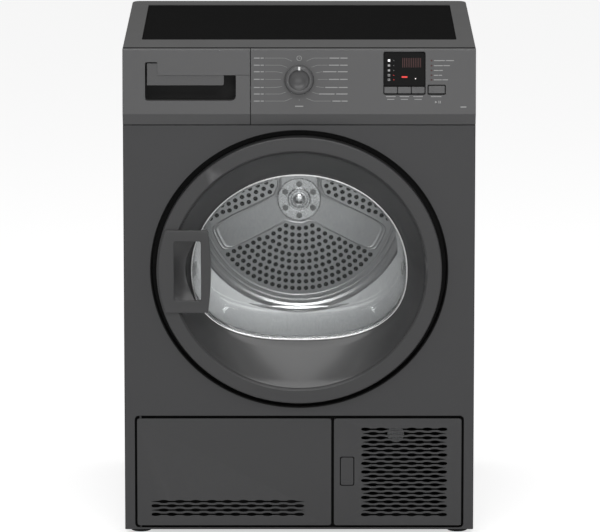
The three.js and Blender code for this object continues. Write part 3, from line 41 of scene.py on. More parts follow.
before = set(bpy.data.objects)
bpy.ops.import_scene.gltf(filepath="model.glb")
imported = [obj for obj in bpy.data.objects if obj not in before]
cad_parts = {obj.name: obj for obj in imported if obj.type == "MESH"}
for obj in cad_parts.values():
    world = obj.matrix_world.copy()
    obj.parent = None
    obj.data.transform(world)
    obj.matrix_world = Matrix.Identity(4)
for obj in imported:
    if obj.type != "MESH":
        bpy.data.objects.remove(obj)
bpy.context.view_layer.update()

# Sizes are in millimetres, with Y measured from the face of the front panel into the machine.
MM = 0.001
PANEL_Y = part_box("front_panel")[0].y


def span(node):
    """Lowest and highest corner of a CAD node, in millimetres."""
    low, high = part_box(node)
    shift = Vector((0, PANEL_Y, 0))
    return (low - shift) / MM, (high - shift) / MM


PANEL_LOW, PANEL_HIGH = span("front_panel")
RING_LOW, RING_HIGH = span("door_frame")
CONSOLE_LOW, CONSOLE_HIGH = span("console_fascia")
FLAP_LOW, FLAP_HIGH = span("service_flap")
GRILLE_LOW, GRILLE_HIGH = span("grille_cover")
GLASS_LOW, GLASS_HIGH = span("door_glass")
DRUM_LOW, DRUM_HIGH = span("drum_shell")
KNOB_LOW, KNOB_HIGH = span("program_knob")

SIDE = PANEL_HIGH.x
TOP = CONSOLE_HIGH.z
SHEET = 1.2
OVAL = (RING_HIGH.z - RING_LOW.z) / (RING_HIGH.x - RING_LOW.x)
DOOR_Z = (RING_HIGH.z + RING_LOW.z) / 2
RING_R = RING_HIGH.x
BOWL_R = 215.0
RECESS_R = 250.5
DISH_BACK = PANEL_HIGH.y
WINDOW_Z = 460.0
WINDOW_R = 186.0
WINDOW_UP = 165.0
WINDOW_DOWN = 124.3
WINDOW_POWER = 2.55
WINDOW_Y = 35.0
BOWL_Y = -12.0
SEAL_Y = 17.0
CATCH_X = -221.0
LEAN = math.radians(5.4)
LIP_Z = 734.3
LIP_Y = -10.5
KNOB_Z = 792.0
DRUM_Z = (DRUM_HIGH.z + DRUM_LOW.z) / 2
DRUM_R = DRUM_HIGH.x
SPLIT_X = -82.2
KICK_TOP = GRILLE_HIGH.z
KICK_BOTTOM = GRILLE_LOW.z
LIFTER_TURNS = (0, 120, 240)
AROUND = 144


def face_y(z):
    """Depth of the leaning console face at height z."""
    return LIP_Y + (z - LIP_Z) * math.tan(LEAN)


# ---- Tools for modelling ----
def only(obj):
    bpy.ops.object.select_all(action="DESELECT")
    obj.select_set(True)
    bpy.context.view_layer.objects.active = obj


@contextmanager
def editing(obj):
    """Edit mode with every vertex selected."""
    only(obj)
    bpy.ops.object.mode_set(mode="EDIT")
    bpy.ops.mesh.select_mode(type="VERT")
    bpy.ops.mesh.select_all(action="SELECT")
    yield
    bpy.ops.object.mode_set(mode="OBJECT")


def start(name, add, **choices):
    bpy.ops.object.select_all(action="DESELECT")
    add(**choices)
    obj = bpy.context.object
    obj.name = name
    obj.data.name = name
    return obj


def place(obj, points):
    """Puts the vertices at points, given in millimetres."""
    points = np.array(points, float) * MM
    points[:, 1] += PANEL_Y
    obj.data.vertices.foreach_set("co", points.ravel())
    obj.data.update()


def tidy(obj, holes=False):
    """Closes the seams and turns the faces outward."""
    with editing(obj):
        bpy.ops.mesh.remove_doubles(threshold=1e-6)
        if holes:
            bpy.ops.mesh.select_all(action="DESELECT")
            bpy.ops.mesh.select_non_manifold()
            bpy.ops.mesh.fill_holes(sides=0)
        bpy.ops.mesh.select_all(action="SELECT")
        bpy.ops.mesh.normals_make_consistent(inside=False)
    return obj


def plate(name, outline, low, high, axis=1):
    """A flat outline, extruded along an axis from low to high."""
    obj = start(name, bpy.ops.mesh.primitive_circle_add, vertices=len(outline), fill_type="NGON")
    place(obj, np.insert(np.array(outline, float), axis, low, axis=1))
    step = [0.0, 0.0, 0.0]
    step[axis] = (high - low) * MM
    with editing(obj):
        bpy.ops.mesh.extrude_region_move(TRANSFORM_OT_translate={"value": step})
    return tidy(obj)


def skin(name, rows, round_rows=True):
    """A surface through closed rows of points, closed from last row to first or ending in poles or holes."""
    rows = np.array(rows, float)
    rows = np.concatenate([rows, rows[:, :1]], axis=1)
    if round_rows:
        rows = np.concatenate([rows, rows[:1]])
    down, across = rows.shape[0] - 1, rows.shape[1] - 1
    obj = start(name, bpy.ops.mesh.primitive_grid_add, x_subdivisions=across, y_subdivisions=down, size=2)
    at = np.zeros(len(obj.data.vertices) * 3)
    obj.data.vertices.foreach_get("co", at)
    at = at.reshape(-1, 3)
    column = np.rint((at[:, 0] + 1) / 2 * across).astype(int)
    row = np.rint((at[:, 1] + 1) / 2 * down).astype(int)
    place(obj, rows[row, column])
    return tidy(obj, holes=not round_rows)


def turned(name, profile, x=0.0, z=DOOR_Z, steps=AROUND, ratio=1.0):
    """A closed profile of (radius, y) spun about a front-to-back axis, and squeezed in height by ratio."""
    obj = start(name, bpy.ops.mesh.primitive_circle_add, vertices=len(profile), fill_type="NOTHING")
    place(obj, [(x + r, y, z) for r, y in profile])
    with editing(obj):
        centre = (x * MM, PANEL_Y, z * MM)
        bpy.ops.mesh.spin(steps=steps, angle=2 * math.pi, center=centre, axis=(0, 1, 0))
    tidy(obj)
    if ratio != 1.0:
        about = Matrix.Translation((0, 0, z * MM))
        obj.data.transform(about @ Matrix.Diagonal((1, 1, ratio, 1)) @ about.inverted())
    return obj


def post(name, profile, x, y, steps=48):
    """A closed profile of (radius, z) spun about an upright axis."""
    obj = start(name, bpy.ops.mesh.primitive_circle_add, vertices=len(profile), fill_type="NOTHING")
    place(obj, [(x + r, y, z) for r, z in profile])
    with editing(obj):
        centre = (x * MM, y * MM + PANEL_Y, 0)
        bpy.ops.mesh.spin(steps=steps, angle=2 * math.pi, center=centre, axis=(0, 0, 1))
    return tidy(obj)


def block(name, x0, x1, y0, y1, z0, z1):
    obj = start(name, bpy.ops.mesh.primitive_cube_add, size=1)
    sizes = Matrix.Diagonal(((x1 - x0) * MM, (y1 - y0) * MM, (z1 - z0) * MM, 1))
    middle = ((x0 + x1) / 2 * MM, (y0 + y1) / 2 * MM + PANEL_Y, (z0 + z1) / 2 * MM)
    obj.data.transform(Matrix.Translation(middle) @ sizes)
    return obj


def fillet(points, radius, steps=5):
    """Rounds the corners of a closed outline by one radius, or by one for each corner."""
    points = [np.array(p, float) for p in points]
    radii = [radius] * len(points) if np.isscalar(radius) else radius
    made = []
    for k, corner in enumerate(points):
        if radii[k] <= 0:
            made.append(tuple(corner))
            continue
        back = points[k - 1] - corner
        on = points[(k + 1) % len(points)] - corner
        long_back, long_on = np.linalg.norm(back), np.linalg.norm(on)
        half = math.acos(np.clip(back @ on / (long_back * long_on), -1, 1)) / 2
        reach = min(radii[k] / math.tan(half), 0.48 * long_back, 0.48 * long_on)
        first, last = corner + back / long_back * reach, corner + on / long_on * reach
        for t in np.linspace(0, 1, steps + 1):
            made.append(tuple((1 - t) ** 2 * first + 2 * t * (1 - t) * corner + t * t * last))
    return made


def panel_outline(x0, x1, z0, z1, radius, steps=6):
    return fillet([(x0, z0), (x1, z0), (x1, z1), (x0, z1)], radius, steps)


def cut(obj, *tools, operation="DIFFERENCE"):
    """Cuts the tools out of obj, or adds them to it, and uses them up."""
    for tool in tools:
        only(obj)
        bpy.ops.object.modifier_add(type="BOOLEAN")
        change = obj.modifiers[-1]
        change.operation = operation
        change.solver = "EXACT"
        change.object = tool
        bpy.ops.object.modifier_apply(modifier=change.name)
        bpy.data.objects.remove(tool)
    return obj


def bevel(obj, width, segments=3, angle=35):
    only(obj)
    bpy.ops.object.modifier_add(type="BEVEL")
    change = obj.modifiers[-1]
    change.width = width * MM
    change.segments = segments
    change.limit_method = "ANGLE"
    change.angle_limit = math.radians(angle)
    bpy.ops.object.modifier_apply(modifier=change.name)
    return obj


def joined(name, pieces):
    only(pieces[0])
    for piece in pieces[1:]:
        piece.select_set(True)
    if len(pieces) > 1:
        bpy.ops.object.join()
    pieces[0].name = name
    pieces[0].data.name = name
    return pieces[0]


def copied(name, master, matrices):
    """One piece made of a copy of master for each matrix, given in metres."""
    made = []
    for matrix in matrices:
        twin = master.copy()
        twin.data = master.data.copy()
        twin.data.transform(matrix)
        bpy.context.scene.collection.objects.link(twin)
        made.append(twin)
    bpy.data.objects.remove(master)
    return joined(name, made)


def shifted(x, y, z, turn=0.0, axis="Z"):
    """A move given in millimetres, after a turn in degrees."""
    return Matrix.Translation((x * MM, y * MM, z * MM)) @ Matrix.Rotation(math.radians(turn), 4, axis)


def on_face(obj, z):
    """Lays a piece made upright at y 0 and z 0 on the leaning console face at height z."""
    home = Matrix.Translation((0, PANEL_Y, 0))
    lean = Matrix.Rotation(-LEAN, 4, "X")
    obj.data.transform(home @ shifted(0, face_y(z), z) @ lean @ home.inverted())
    return obj


def settle(obj, body, material, replaces=(), angle=32):
    """Gives a finished piece its shading, finish and body."""
    only(obj)
    bpy.ops.object.shade_smooth_by_angle(angle=math.radians(angle))
    bpy.ops.object.modifier_add(type="WEIGHTED_NORMAL")
    obj.modifiers[-1].keep_sharp = True
    bpy.ops.object.modifier_apply(modifier=obj.modifiers[-1].name)
    obj.data.materials.clear()
    obj.data.materials.append(material)
    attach(obj, body)
    if replaces:
        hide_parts(*replaces)
    return obj


def oval(radius, y):
    angle = np.linspace(0, 2 * math.pi, AROUND, endpoint=False)
    return np.stack(
        [radius * np.cos(angle), np.full(AROUND, float(y)), DOOR_Z + radius * OVAL * np.sin(angle)], axis=1
    )


def mix_at(y):
    """How far the door's section has turned from the ring's oval into the window's outline at depth y."""
    return (y - BOWL_Y) / (WINDOW_Y - BOWL_Y)


def door_row(y, mix, grow=0.0, scale=1.0):
    """One section of the door at depth y: the ring's oval at mix 0, the window's outline at mix 1."""
    angle = np.linspace(0, 2 * math.pi, AROUND, endpoint=False)
    c, s = np.cos(angle), np.sin(angle)
    power = np.where(s < 0, 2 / WINDOW_POWER, 1.0)
    tall = np.where(s < 0, WINDOW_DOWN, WINDOW_UP)
    window_x = WINDOW_R * np.sign(c) * np.abs(c) ** power
    window_z = WINDOW_Z + tall * np.sign(s) * np.abs(s) ** power
    x = (1 - mix) * BOWL_R * c + mix * window_x
    middle = (1 - mix) * DOOR_Z + mix * WINDOW_Z
    up = (1 - mix) * (DOOR_Z + BOWL_R * OVAL * s) + mix * window_z - middle
    far = np.hypot(x, up)
    x, up = (x + grow * x / far) * scale, (up + grow * up / far) * scale
    return np.stack([x, np.full(AROUND, float(y)), middle + up], axis=1)


# ---- Shared finishes ----
def shader_group(name, inputs, outputs):
    group = bpy.data.node_groups.new(name, "ShaderNodeTree")
    for label, value in inputs:
        socket = group.interface.new_socket(label, in_out="INPUT", socket_type="NodeSocketFloat")
        socket.default_value = value
    for label in outputs:
        group.interface.new_socket(label, in_out="OUTPUT", socket_type="NodeSocketFloat")
    return group, group.nodes.new("NodeGroupInput"), group.nodes.new("NodeGroupOutput")


def math_node(tree, operation, first, second):
    node = tree.nodes.new("ShaderNodeMath")
    node.operation = operation
    for socket, value in zip(node.inputs, (first, second)):
        if isinstance(value, (int, float)):
            socket.default_value = value
        else:
            tree.links.new(value, socket)
    return node.outputs[0]


def grain_group():
    """Fine moulded or sprayed texture. Size is the number of grains in a metre."""
    group, inlet, outlet = shader_group("Moulded grain", [("Size", 900.0)], ["Height"])
    place_node = group.nodes.new("ShaderNodeTexCoord")
    noise = group.nodes.new("ShaderNodeTexNoise")
    noise.inputs["Detail"].default_value = 3.0
    group.links.new(place_node.outputs["Object"], noise.inputs["Vector"])
    group.links.new(inlet.outputs["Size"], noise.inputs["Scale"])
    group.links.new(noise.outputs["Fac"], outlet.inputs["Height"])
    return group


def wear_and_highlight_group():
    """Paler edges, broken up by noise: partly handled wear, and partly a highlight painted along sharp edges.
    """
    group, inlet, outlet = shader_group("Edge wear and highlight", [("Amount", 0.3)], ["Mask"])
    geometry = group.nodes.new("ShaderNodeNewGeometry")
    place_node = group.nodes.new("ShaderNodeTexCoord")
    noise = group.nodes.new("ShaderNodeTexNoise")
    noise.inputs["Scale"].default_value = 60.0
    group.links.new(place_node.outputs["Object"], noise.inputs["Vector"])
    sharp = group.nodes.new("ShaderNodeMapRange")
    sharp.inputs["From Min"].default_value = 0.53
    sharp.inputs["From Max"].default_value = 0.63
    group.links.new(geometry.outputs["Pointiness"], sharp.inputs["Value"])
    wear_and_highlight = math_node(group, "MULTIPLY", sharp.outputs["Result"], noise.outputs["Fac"])
    group.links.new(math_node(group, "MULTIPLY", wear_and_highlight, inlet.outputs["Amount"]), outlet.inputs["Mask"])
    return group


def dust_group():
    """A little dust on faces that look up."""
    group, inlet, outlet = shader_group("Settled dust", [("Amount", 0.1)], ["Mask"])
    geometry = group.nodes.new("ShaderNodeNewGeometry")
    parts = group.nodes.new("ShaderNodeSeparateXYZ")
    place_node = group.nodes.new("ShaderNodeTexCoord")
    noise = group.nodes.new("ShaderNodeTexNoise")
    noise.inputs["Scale"].default_value = 14.0
    noise.inputs["Detail"].default_value = 6.0
    group.links.new(place_node.outputs["Object"], noise.inputs["Vector"])
    group.links.new(geometry.outputs["Normal"], parts.inputs["Vector"])
    upward = math_node(group, "MAXIMUM", parts.outputs["Z"], 0.0)
    patchy = math_node(group, "MULTIPLY", upward, noise.outputs["Fac"])
    group.links.new(math_node(group, "MULTIPLY", patchy, inlet.outputs["Amount"]), outlet.inputs["Mask"])
    return group


def brushed_group():
    """Long fine scratches. Each input stretches them along one way."""
    names = [("Across X", 30.0), ("Across Y", 900.0), ("Across Z", 900.0)]
    group, inlet, outlet = shader_group("Brushed metal", names, ["Scratch"])
    place_node = group.nodes.new("ShaderNodeTexCoord")
    stretch = group.nodes.new("ShaderNodeVectorMath")
    stretch.operation = "MULTIPLY"
    pack = group.nodes.new("ShaderNodeCombineXYZ")
    for label, axis in zip(("Across X", "Across Y", "Across Z"), "XYZ"):
        group.links.new(inlet.outputs[label], pack.inputs[axis])
    noise = group.nodes.new("ShaderNodeTexNoise")
    noise.inputs["Scale"].default_value = 1.0
    noise.inputs["Detail"].default_value = 4.0
    group.links.new(place_node.outputs["Object"], stretch.inputs[0])
    group.links.new(pack.outputs["Vector"], stretch.inputs[1])
    group.links.new(stretch.outputs["Vector"], noise.inputs["Vector"])
    group.links.new(noise.outputs["Fac"], outlet.inputs["Scratch"])
    return group


SHARED = {
    "Moulded grain": grain_group,
    "Edge wear and highlight": wear_and_highlight_group,
    "Settled dust": dust_group,
    "Brushed metal": brushed_group,
}


def shared(tree, name, **values):
    node = tree.nodes.new("ShaderNodeGroup")
    node.node_tree = bpy.data.node_groups.get(name) or SHARED[name]()
    for label, value in values.items():
        node.inputs[label.replace("_", " ")].default_value = value
    return node.outputs[0]


def tint(tree, first, second, mask):
    """Blends a colour or socket toward a second colour by a mask."""
    mix = tree.nodes.new("ShaderNodeMix")
    mix.data_type = "RGBA"
    if isinstance(first, bpy.types.NodeSocket):
        tree.links.new(first, mix.inputs[6])
    else:
        mix.inputs[6].default_value = (*first[:3], 1)
    mix.inputs[7].default_value = (*second[:3], 1)
    tree.links.new(mask, mix.inputs[0])
    return mix.outputs[2]


def bump(tree, shader, height, depth):
    node = tree.nodes.new("ShaderNodeBump")
    node.inputs["Strength"].default_value = 0.6
    node.inputs["Distance"].default_value = depth
    tree.links.new(height, node.inputs["Height"])
    tree.links.new(node.outputs["Normal"], shader.inputs["Normal"])


def blank_material(name, roughness, metallic=0.0):
    material = bpy.data.materials.new(name)
    material.use_nodes = True
    shader = material.node_tree.nodes["Principled BSDF"]
    shader.inputs["Roughness"].default_value = roughness
    shader.inputs["Metallic"].default_value = metallic
    return material, material.node_tree, shader


def plastic(name, color, roughness, grain=700.0, depth=0.00004, wear=0.25, dust=0.06, coat=0.0, shine=0.5):
    """Moulded plastic or paint: grain, paler edges that are partly wear and partly painted highlight, and a
    little dust.
    """
    if name in bpy.data.materials:
        return bpy.data.materials[name]
    material, tree, shader = blank_material(name, roughness)
    # Paler colour for sharp edges: partly wear, partly a painted highlight.
    pale = [min(1.0, 2.2 * part + 0.03) for part in color[:3]]
    wear_and_highlight = tint(tree, color, pale, shared(tree, "Edge wear and highlight", Amount=wear))
    dusty = tint(tree, wear_and_highlight, (0.4, 0.39, 0.37), shared(tree, "Settled dust", Amount=dust))
    tree.links.new(dusty, shader.inputs["Base Color"])
    shader.inputs["Specular IOR Level"].default_value = shine
    shader.inputs["Coat Weight"].default_value = coat
    shader.inputs["Coat Roughness"].default_value = 0.12
    bump(tree, shader, shared(tree, "Moulded grain", Size=grain), depth)
    return material


def metal(name, color, roughness, across=(40.0, 900.0, 900.0), depth=0.00002):
    """Rolled or brushed steel with fine scratches."""
    if name in bpy.data.materials:
        return bpy.data.materials[name]
    material, tree, shader = blank_material(name, roughness, 1.0)
    scratch = shared(tree, "Brushed metal", Across_X=across[0], Across_Y=across[1], Across_Z=across[2])
    dull = [0.7 * part for part in color[:3]]
    tree.links.new(tint(tree, color, dull, scratch), shader.inputs["Base Color"])
    rough = math_node(tree, "MULTIPLY", scratch, 0.16)
    tree.links.new(math_node(tree, "ADD", rough, roughness - 0.06), shader.inputs["Roughness"])
    bump(tree, shader, scratch, depth)
    return material


def lamp(name, color, strength):
    """A mark that glows: lit marks behind the display, and the knob's white mark, whose faint glow is painted
    light.
    """
    if name in bpy.data.materials:
        return bpy.data.materials[name]
    material, tree, shader = blank_material(name, 0.4)
    shader.inputs["Base Color"].default_value = (*color[:3], 1)
    shader.inputs["Emission Color"].default_value = (*color[:3], 1)
    shader.inputs["Emission Strength"].default_value = strength
    bump(tree, shader, shared(tree, "Moulded grain", Size=2000.0), 0.00001)
    return material


def window_glass(tone):
    """Clear toughened glass with a faint film of dust. Lamps shine through it."""
    name = "door glass"
    if name in bpy.data.materials:
        return bpy.data.materials[name]
    material, tree, shader = blank_material(name, 0.0)
    shader.inputs["Base Color"].default_value = (*tone[:3], 1)
    shader.inputs["Transmission Weight"].default_value = 1.0
    shader.inputs["IOR"].default_value = 1.35
    film = math_node(tree, "MULTIPLY", shared(tree, "Moulded grain", Size=6.0), 0.05)
    tree.links.new(film, shader.inputs["Roughness"])
    path = tree.nodes.new("ShaderNodeLightPath")
    clear = tree.nodes.new("ShaderNodeBsdfTransparent")
    clear.inputs["Color"].default_value = (0.85, 0.87, 0.87, 1)
    blend = tree.nodes.new("ShaderNodeMixShader")
    tree.links.new(path.outputs["Is Shadow Ray"], blend.inputs["Fac"])
    tree.links.new(shader.outputs["BSDF"], blend.inputs[1])
    tree.links.new(clear.outputs["BSDF"], blend.inputs[2])
    tree.links.new(blend.outputs["Shader"], tree.nodes["Material Output"].inputs["Surface"])
    return material


# ---- Settings ----
def length(name, description, default):
    return bpy.props.FloatProperty(name=name, description=description, default=default, unit="LENGTH")


def share(name, description, default):
    return bpy.props.FloatProperty(name=name, description=description, default=default, subtype="FACTOR")


def color(name, description, grey, tone=(1.0, 1.0, 1.0)):
    """A colour setting. Grey is its linear brightness."""
    default = tuple(min(1.0, grey * part) for part in tone)
    return bpy.props.FloatVectorProperty(
        name=name, description=description, default=default, subtype="COLOR", size=3, min=0, max=1
    )


def count(name, description, default):
    return bpy.props.IntProperty(name=name, description=description, default=default, min=1)


class DryerShape(bpy.types.PropertyGroup):
    """Sizes that are finer than the solid frame."""

    sheet_round: length("Sheet rounding", "Radius of the folded sheet edges", 0.0011)
    nose_round: length("Nose rounding", "Radius of the top front edge of the console", 0.0026)
    lip_round: length("Lip rounding", "Radius where the console face turns under", 0.0025)
    glass_rise: share("Glass rise", "How far the window's bowl is squeezed upward at its back", 0.13)
    trim_round: length("Trim radius", "Radius of the bright wire around the window", 0.0022)
    bead_long: length("Bead length", "Length of one bead in a vent slot", 0.0172)
    bead_tall: length("Bead height", "Height of one bead in a vent slot", 0.0062)
    neck_tall: length("Neck height", "Height of the slot between two beads", 0.003)
    vent_rows: count("Vent rows", "Rows of slots in the grille", 21)
    vent_beads: count("Vent beads", "Beads in a full row of the grille", 6)
    flap_rows: count("Flap rows", "Rows of slots in the service flap", 4)
    flap_beads: count("Flap beads", "Beads in a full row of the flap", 10)
    hole_round: length("Hole radius", "Radius of a hole in the drum's back", 0.0043)
    hole_pitch: length("Hole pitch", "Distance between the holes in the drum's back", 0.0121)
    arm_half: length("Arm half width", "Half the width of an arm of the drum's star", 0.0275)
    worktop_round: length("Worktop rounding", "Radius of the worktop's upper edges", 0.0022)


class DryerFinish(bpy.types.PropertyGroup):
    """Colours of the dryer's materials."""

    cabinet: color("Cabinet", "Painted steel of the cabinet", 0.057, (1.0, 1.0, 1.04))
    console: color("Console", "Moulded plastic of the console", 0.098, (1.0, 1.0, 1.02))
    # Pale colour of the strips painted as highlights along the console's and front panel's top edges.
    edge: color("Painted edge highlights", "Fine edges that catch the light", 0.2)
    kick: color("Kick covers", "Moulded plastic of the flap and grille", 0.059, (1.0, 1.0, 1.03))
    ring: color("Door ring", "Lacquered plastic of the door's ring and handle", 0.055, (1.0, 1.0, 1.03))
    bowl: color("Door bowl", "Glossy plastic around the window", 0.042, (1.0, 1.0, 1.03))
    # Painted shade for the inside of the drawer's grip pocket.
    pocket: color("Grip pocket", "Pocket behind the drawer's grip", 0.028)
    worktop: color("Worktop frame", "Moulded plastic of the worktop's frame", 0.085)
    inset: color("Worktop inset", "Dark plate in the worktop", 0.006)
    dark: color("Inner plastic", "Unpainted inner mouldings", 0.009)
    glossy: color("Display black", "Glossy black of the display", 0.003)
    rubber: color("Rubber", "Seals, feet and belt", 0.012)
    steel: color("Sheet steel", "Galvanised inner steel", 0.45, (1.0, 1.01, 1.03))
    drum: color("Drum steel", "Stainless steel of the drum", 0.62, (1.0, 1.0, 1.01))
    bolt: color("Bolts", "Bolts of the drum's hub", 0.2)
    tunnel: color("Tunnel", "Pale moulding between the door and the drum", 0.5)
    bright: color("Bright trim", "Chromed wire around the window", 0.85)
    lifter: color("Lifters", "Moulded plastic of the drum lifters", 0.35)
    tank: color("Water tank", "Milky plastic of the water tank", 0.62)
    glass: color("Glass", "Tint of the window glass", 0.93, (0.98, 1.0, 1.0))
    printed: color("Print", "Printed marks on the console", 0.42)
    white: color("White lamp", "Lit white marks", 0.9)
    red: color("Red lamp", "Lit red marks", 0.8, (1.0, 0.06, 0.05))
    felt: color("Felt", "Felt ring of the drum", 0.24, (1.0, 0.9, 0.76))
    bronze: color("Bearing bronze", "Bearing of the drum's shaft", 0.5, (1.0, 0.72, 0.38))
    alloy: color("Condenser alloy", "Aluminium of the condenser", 0.66)
    board: color("Circuit board", "Lacquer of the control board", 0.14, (0.25, 1.0, 0.45))


class Piece:
    """What the operators share: each one makes its pieces from the scene's settings."""

    bl_options = {"REGISTER", "UNDO"}

    def execute(self, context):
        self.make(context.scene.dryer_shape, context.scene.dryer_finish)
        return {"FINISHED"}


# ---- Cabinet ----
class DRYER_OT_front_panel(Piece, bpy.types.Operator):
    """Folded front sheet with its door dish and kick pocket"""

    bl_idname = "dryer.front_panel"
    bl_label = "Front panel"

    def make(self, shape, finish):
        wrap = 13.5
        inner = SIDE - SHEET
        outline = fillet(
            [(-SIDE, wrap), (-SIDE, 0), (SIDE, 0), (SIDE, wrap)]
            + [(inner, wrap), (inner, SHEET), (-inner, SHEET), (-inner, wrap)],
            [0, 2.5, 2.5, 0, 0, 1.3, 1.3, 0],
        )
        panel = plate("front_panel", outline, PANEL_LOW.z, PANEL_HIGH.z - 0.8, axis=2)
        lip = RECESS_R + 2.5
        hole = turned("hole", [(0, -5), (lip, -5), (lip, 6), (0, 6)], ratio=OVAL)
        left, right = FLAP_LOW.x - 3, GRILLE_HIGH.x + 3
        low, high = KICK_BOTTOM - 3, KICK_TOP + 3
        kick = plate("kick", panel_outline(left, right, low, high, 8), -5, 6)
        bevel(cut(panel, hole, kick), shape.sheet_round / MM, 3)
        paint = plastic("cabinet paint", finish.cabinet, 0.42, grain=420.0, depth=0.00002, wear=0.0)
        settle(panel, "cabinet", paint, ["front_panel"])

        seal = mix_at(SEAL_Y)
        floor = DISH_BACK - SHEET
        rows = [oval(lip + 0.5, 0.1), oval(lip - 0.8, 0.25), oval(RECESS_R + 0.6, 1.1), oval(RECESS_R, 2.6)]
        rows += [oval(RECESS_R, floor - 1.5), oval(RECESS_R - 0.6, floor - 0.3), oval(RECESS_R - 2, floor)]
        rows += [door_row(floor, seal, 19), door_row(DISH_BACK, seal, 19)]
        rows += [oval(RECESS_R + SHEET, DISH_BACK), oval(RECESS_R + SHEET, 2.6), oval(lip + 0.5, 1.1)]
        dish = skin("door_dish", rows)
        slot = block("slot", CATCH_X - 7, CATCH_X + 7, 10, 30, DOOR_Z - 11, DOOR_Z + 11)
        # The dish gets the dark inner colour in place of the panel's paint: painted shade in the deep recess.
        dish_shade = plastic("dish paint", finish.dark, 0.6, wear=0.0, shine=0.2)
        settle(cut(dish, slot), "cabinet", dish_shade)

        outer = panel_outline(left - SHEET, right + SHEET, low - SHEET, high + SHEET, 8)
        pocket = plate("kick_pocket", outer, 0.3, 16)
        room = plate("room", panel_outline(left, right, low, high, 7.5), -1, 14.8)
        bay = block("bay", -264, -46, 5, 40, KICK_BOTTOM + 5, KICK_TOP - 10)
        vents = block("vents", 105.8, 253.1, 5, 40, 34.9, 191.9)
        cut(pocket, room, bay, vents)
        inner_dark = plastic("inner plastic", finish.dark, 0.7, grain=500.0, wear=0.0, shine=0.2)
        settle(bevel(pocket, 0.3, 1), "cabinet", inner_dark)


class DRYER_OT_side_panels(Piece, bpy.types.Operator):
    """Side sheets with a pressed field and folded edges"""

    bl_idname = "dryer.side_panels"
    bl_label = "Side panels"

    def make(self, shape, finish):
        paint = plastic("cabinet paint", finish.cabinet, 0.42)
        for name, sign in (("side_panel_left", -1), ("side_panel_right", 1)):
            low, high = span(name)
            outer, inner = sign * SIDE, sign * (SIDE - SHEET)
            sheet = block(name, min(outer, inner), max(outer, inner), low.y, high.y, low.z, high.z)
            only(sheet)
            bpy.ops.object.mode_set(mode="EDIT")
            bpy.ops.mesh.select_mode(type="FACE")
            bpy.ops.mesh.select_all(action="DESELECT")
            bpy.ops.object.mode_set(mode="OBJECT")
            for face in sheet.data.polygons:
                face.select = face.normal.x * sign > 0.9
            bpy.ops.object.mode_set(mode="EDIT")
            bpy.ops.mesh.inset(thickness=0.034)
            bpy.ops.mesh.inset(thickness=0.005, depth=-0.0007)
            bpy.ops.object.mode_set(mode="OBJECT")
            bevel(sheet, 0.4, 2, angle=60)
            flange = inner - sign * 14
            folds = []
            for y0 in (low.y, high.y - SHEET):
                x0, x1 = min(flange, inner), max(flange, inner)
                folds.append(bevel(block("fold", x0, x1, y0, y0 + SHEET, 52, 733), 0.3, 1))
            sheet = joined(name, [sheet, *folds])
            settle(sheet, "cabinet", paint, [name])


class DRYER_OT_rear_panel(Piece, bpy.types.Operator):
    """Rear sheet with a heater cover, louvres and screws"""

    bl_idname = "dryer.rear_panel"
    bl_label = "Rear panel"

    def make(self, shape, finish):
        low, high = span("rear_panel")
        sheet = plate("rear_panel", panel_outline(low.x, high.x, low.z, high.z, 3), low.y, high.y)
        hole = turned("hole", [(0, low.y - 5), (9, low.y - 5), (9, high.y + 5), (0, high.y + 5)], 240, 70, 32)
        bevel(cut(sheet, hole), 0.3, 1)
        profile = [(0, high.y - 0.5), (232, high.y - 0.5), (232, high.y + 0.9), (224, high.y + 1.2)]
        profile += [
            (218, high.y + 7), (206, high.y + 8), (120, high.y + 8), (112, high.y + 5.5), (0, high.y + 5.5)
        ]
        cover = turned("heater_cover", profile, 0, DRUM_Z, 96)
        hood = plate(
            "hood", fillet([(-46, -3.5), (46, -3.5), (42, 3.5), (-42, 3.5)], 2.5), high.y - 0.5, high.y + 4
        )
        bevel(hood, 1.4, 2)
        rows = [shifted(x, 0, z) for x in (-210, -100, 100) for z in np.arange(60, 190, 16.0)]
        louvres = copied("louvres", hood, rows)
        head = turned(
            "head", [(0, high.y), (4.2, high.y), (4.0, high.y + 1.3), (3.0, high.y + 2), (0, high.y + 2)],
            0, 0, 20
        )
        cross = [block("bar", -2.6, 2.6, high.y + 1, high.y + 3, -0.45, 0.45)]
        cross.append(block("bar", -0.45, 0.45, high.y + 1, high.y + 3, -2.6, 2.6))
        cut(head, *cross)
        edge_x, edge_z = SIDE - 9, (low.z + 12, high.z - 12)
        spots = [(x, z) for x in np.linspace(-edge_x, edge_x, 5) for z in edge_z]
        spots += [(x, z) for x in (-edge_x, edge_x) for z in np.linspace(180, 660, 4)]
        ring = np.linspace(0, 2 * math.pi, 8, endpoint=False) + 0.39
        spots += [(226 * math.cos(a), DRUM_Z + 226 * math.sin(a)) for a in ring]
        screws = copied("screws", head, [shifted(x, 0, z) for x, z in spots])
        steel = metal("sheet steel", finish.steel, 0.42, (60.0, 900.0, 260.0))
        panel = joined("rear_panel", [sheet, cover, louvres, screws])
        settle(panel, "cabinet", steel, ["rear_panel"])


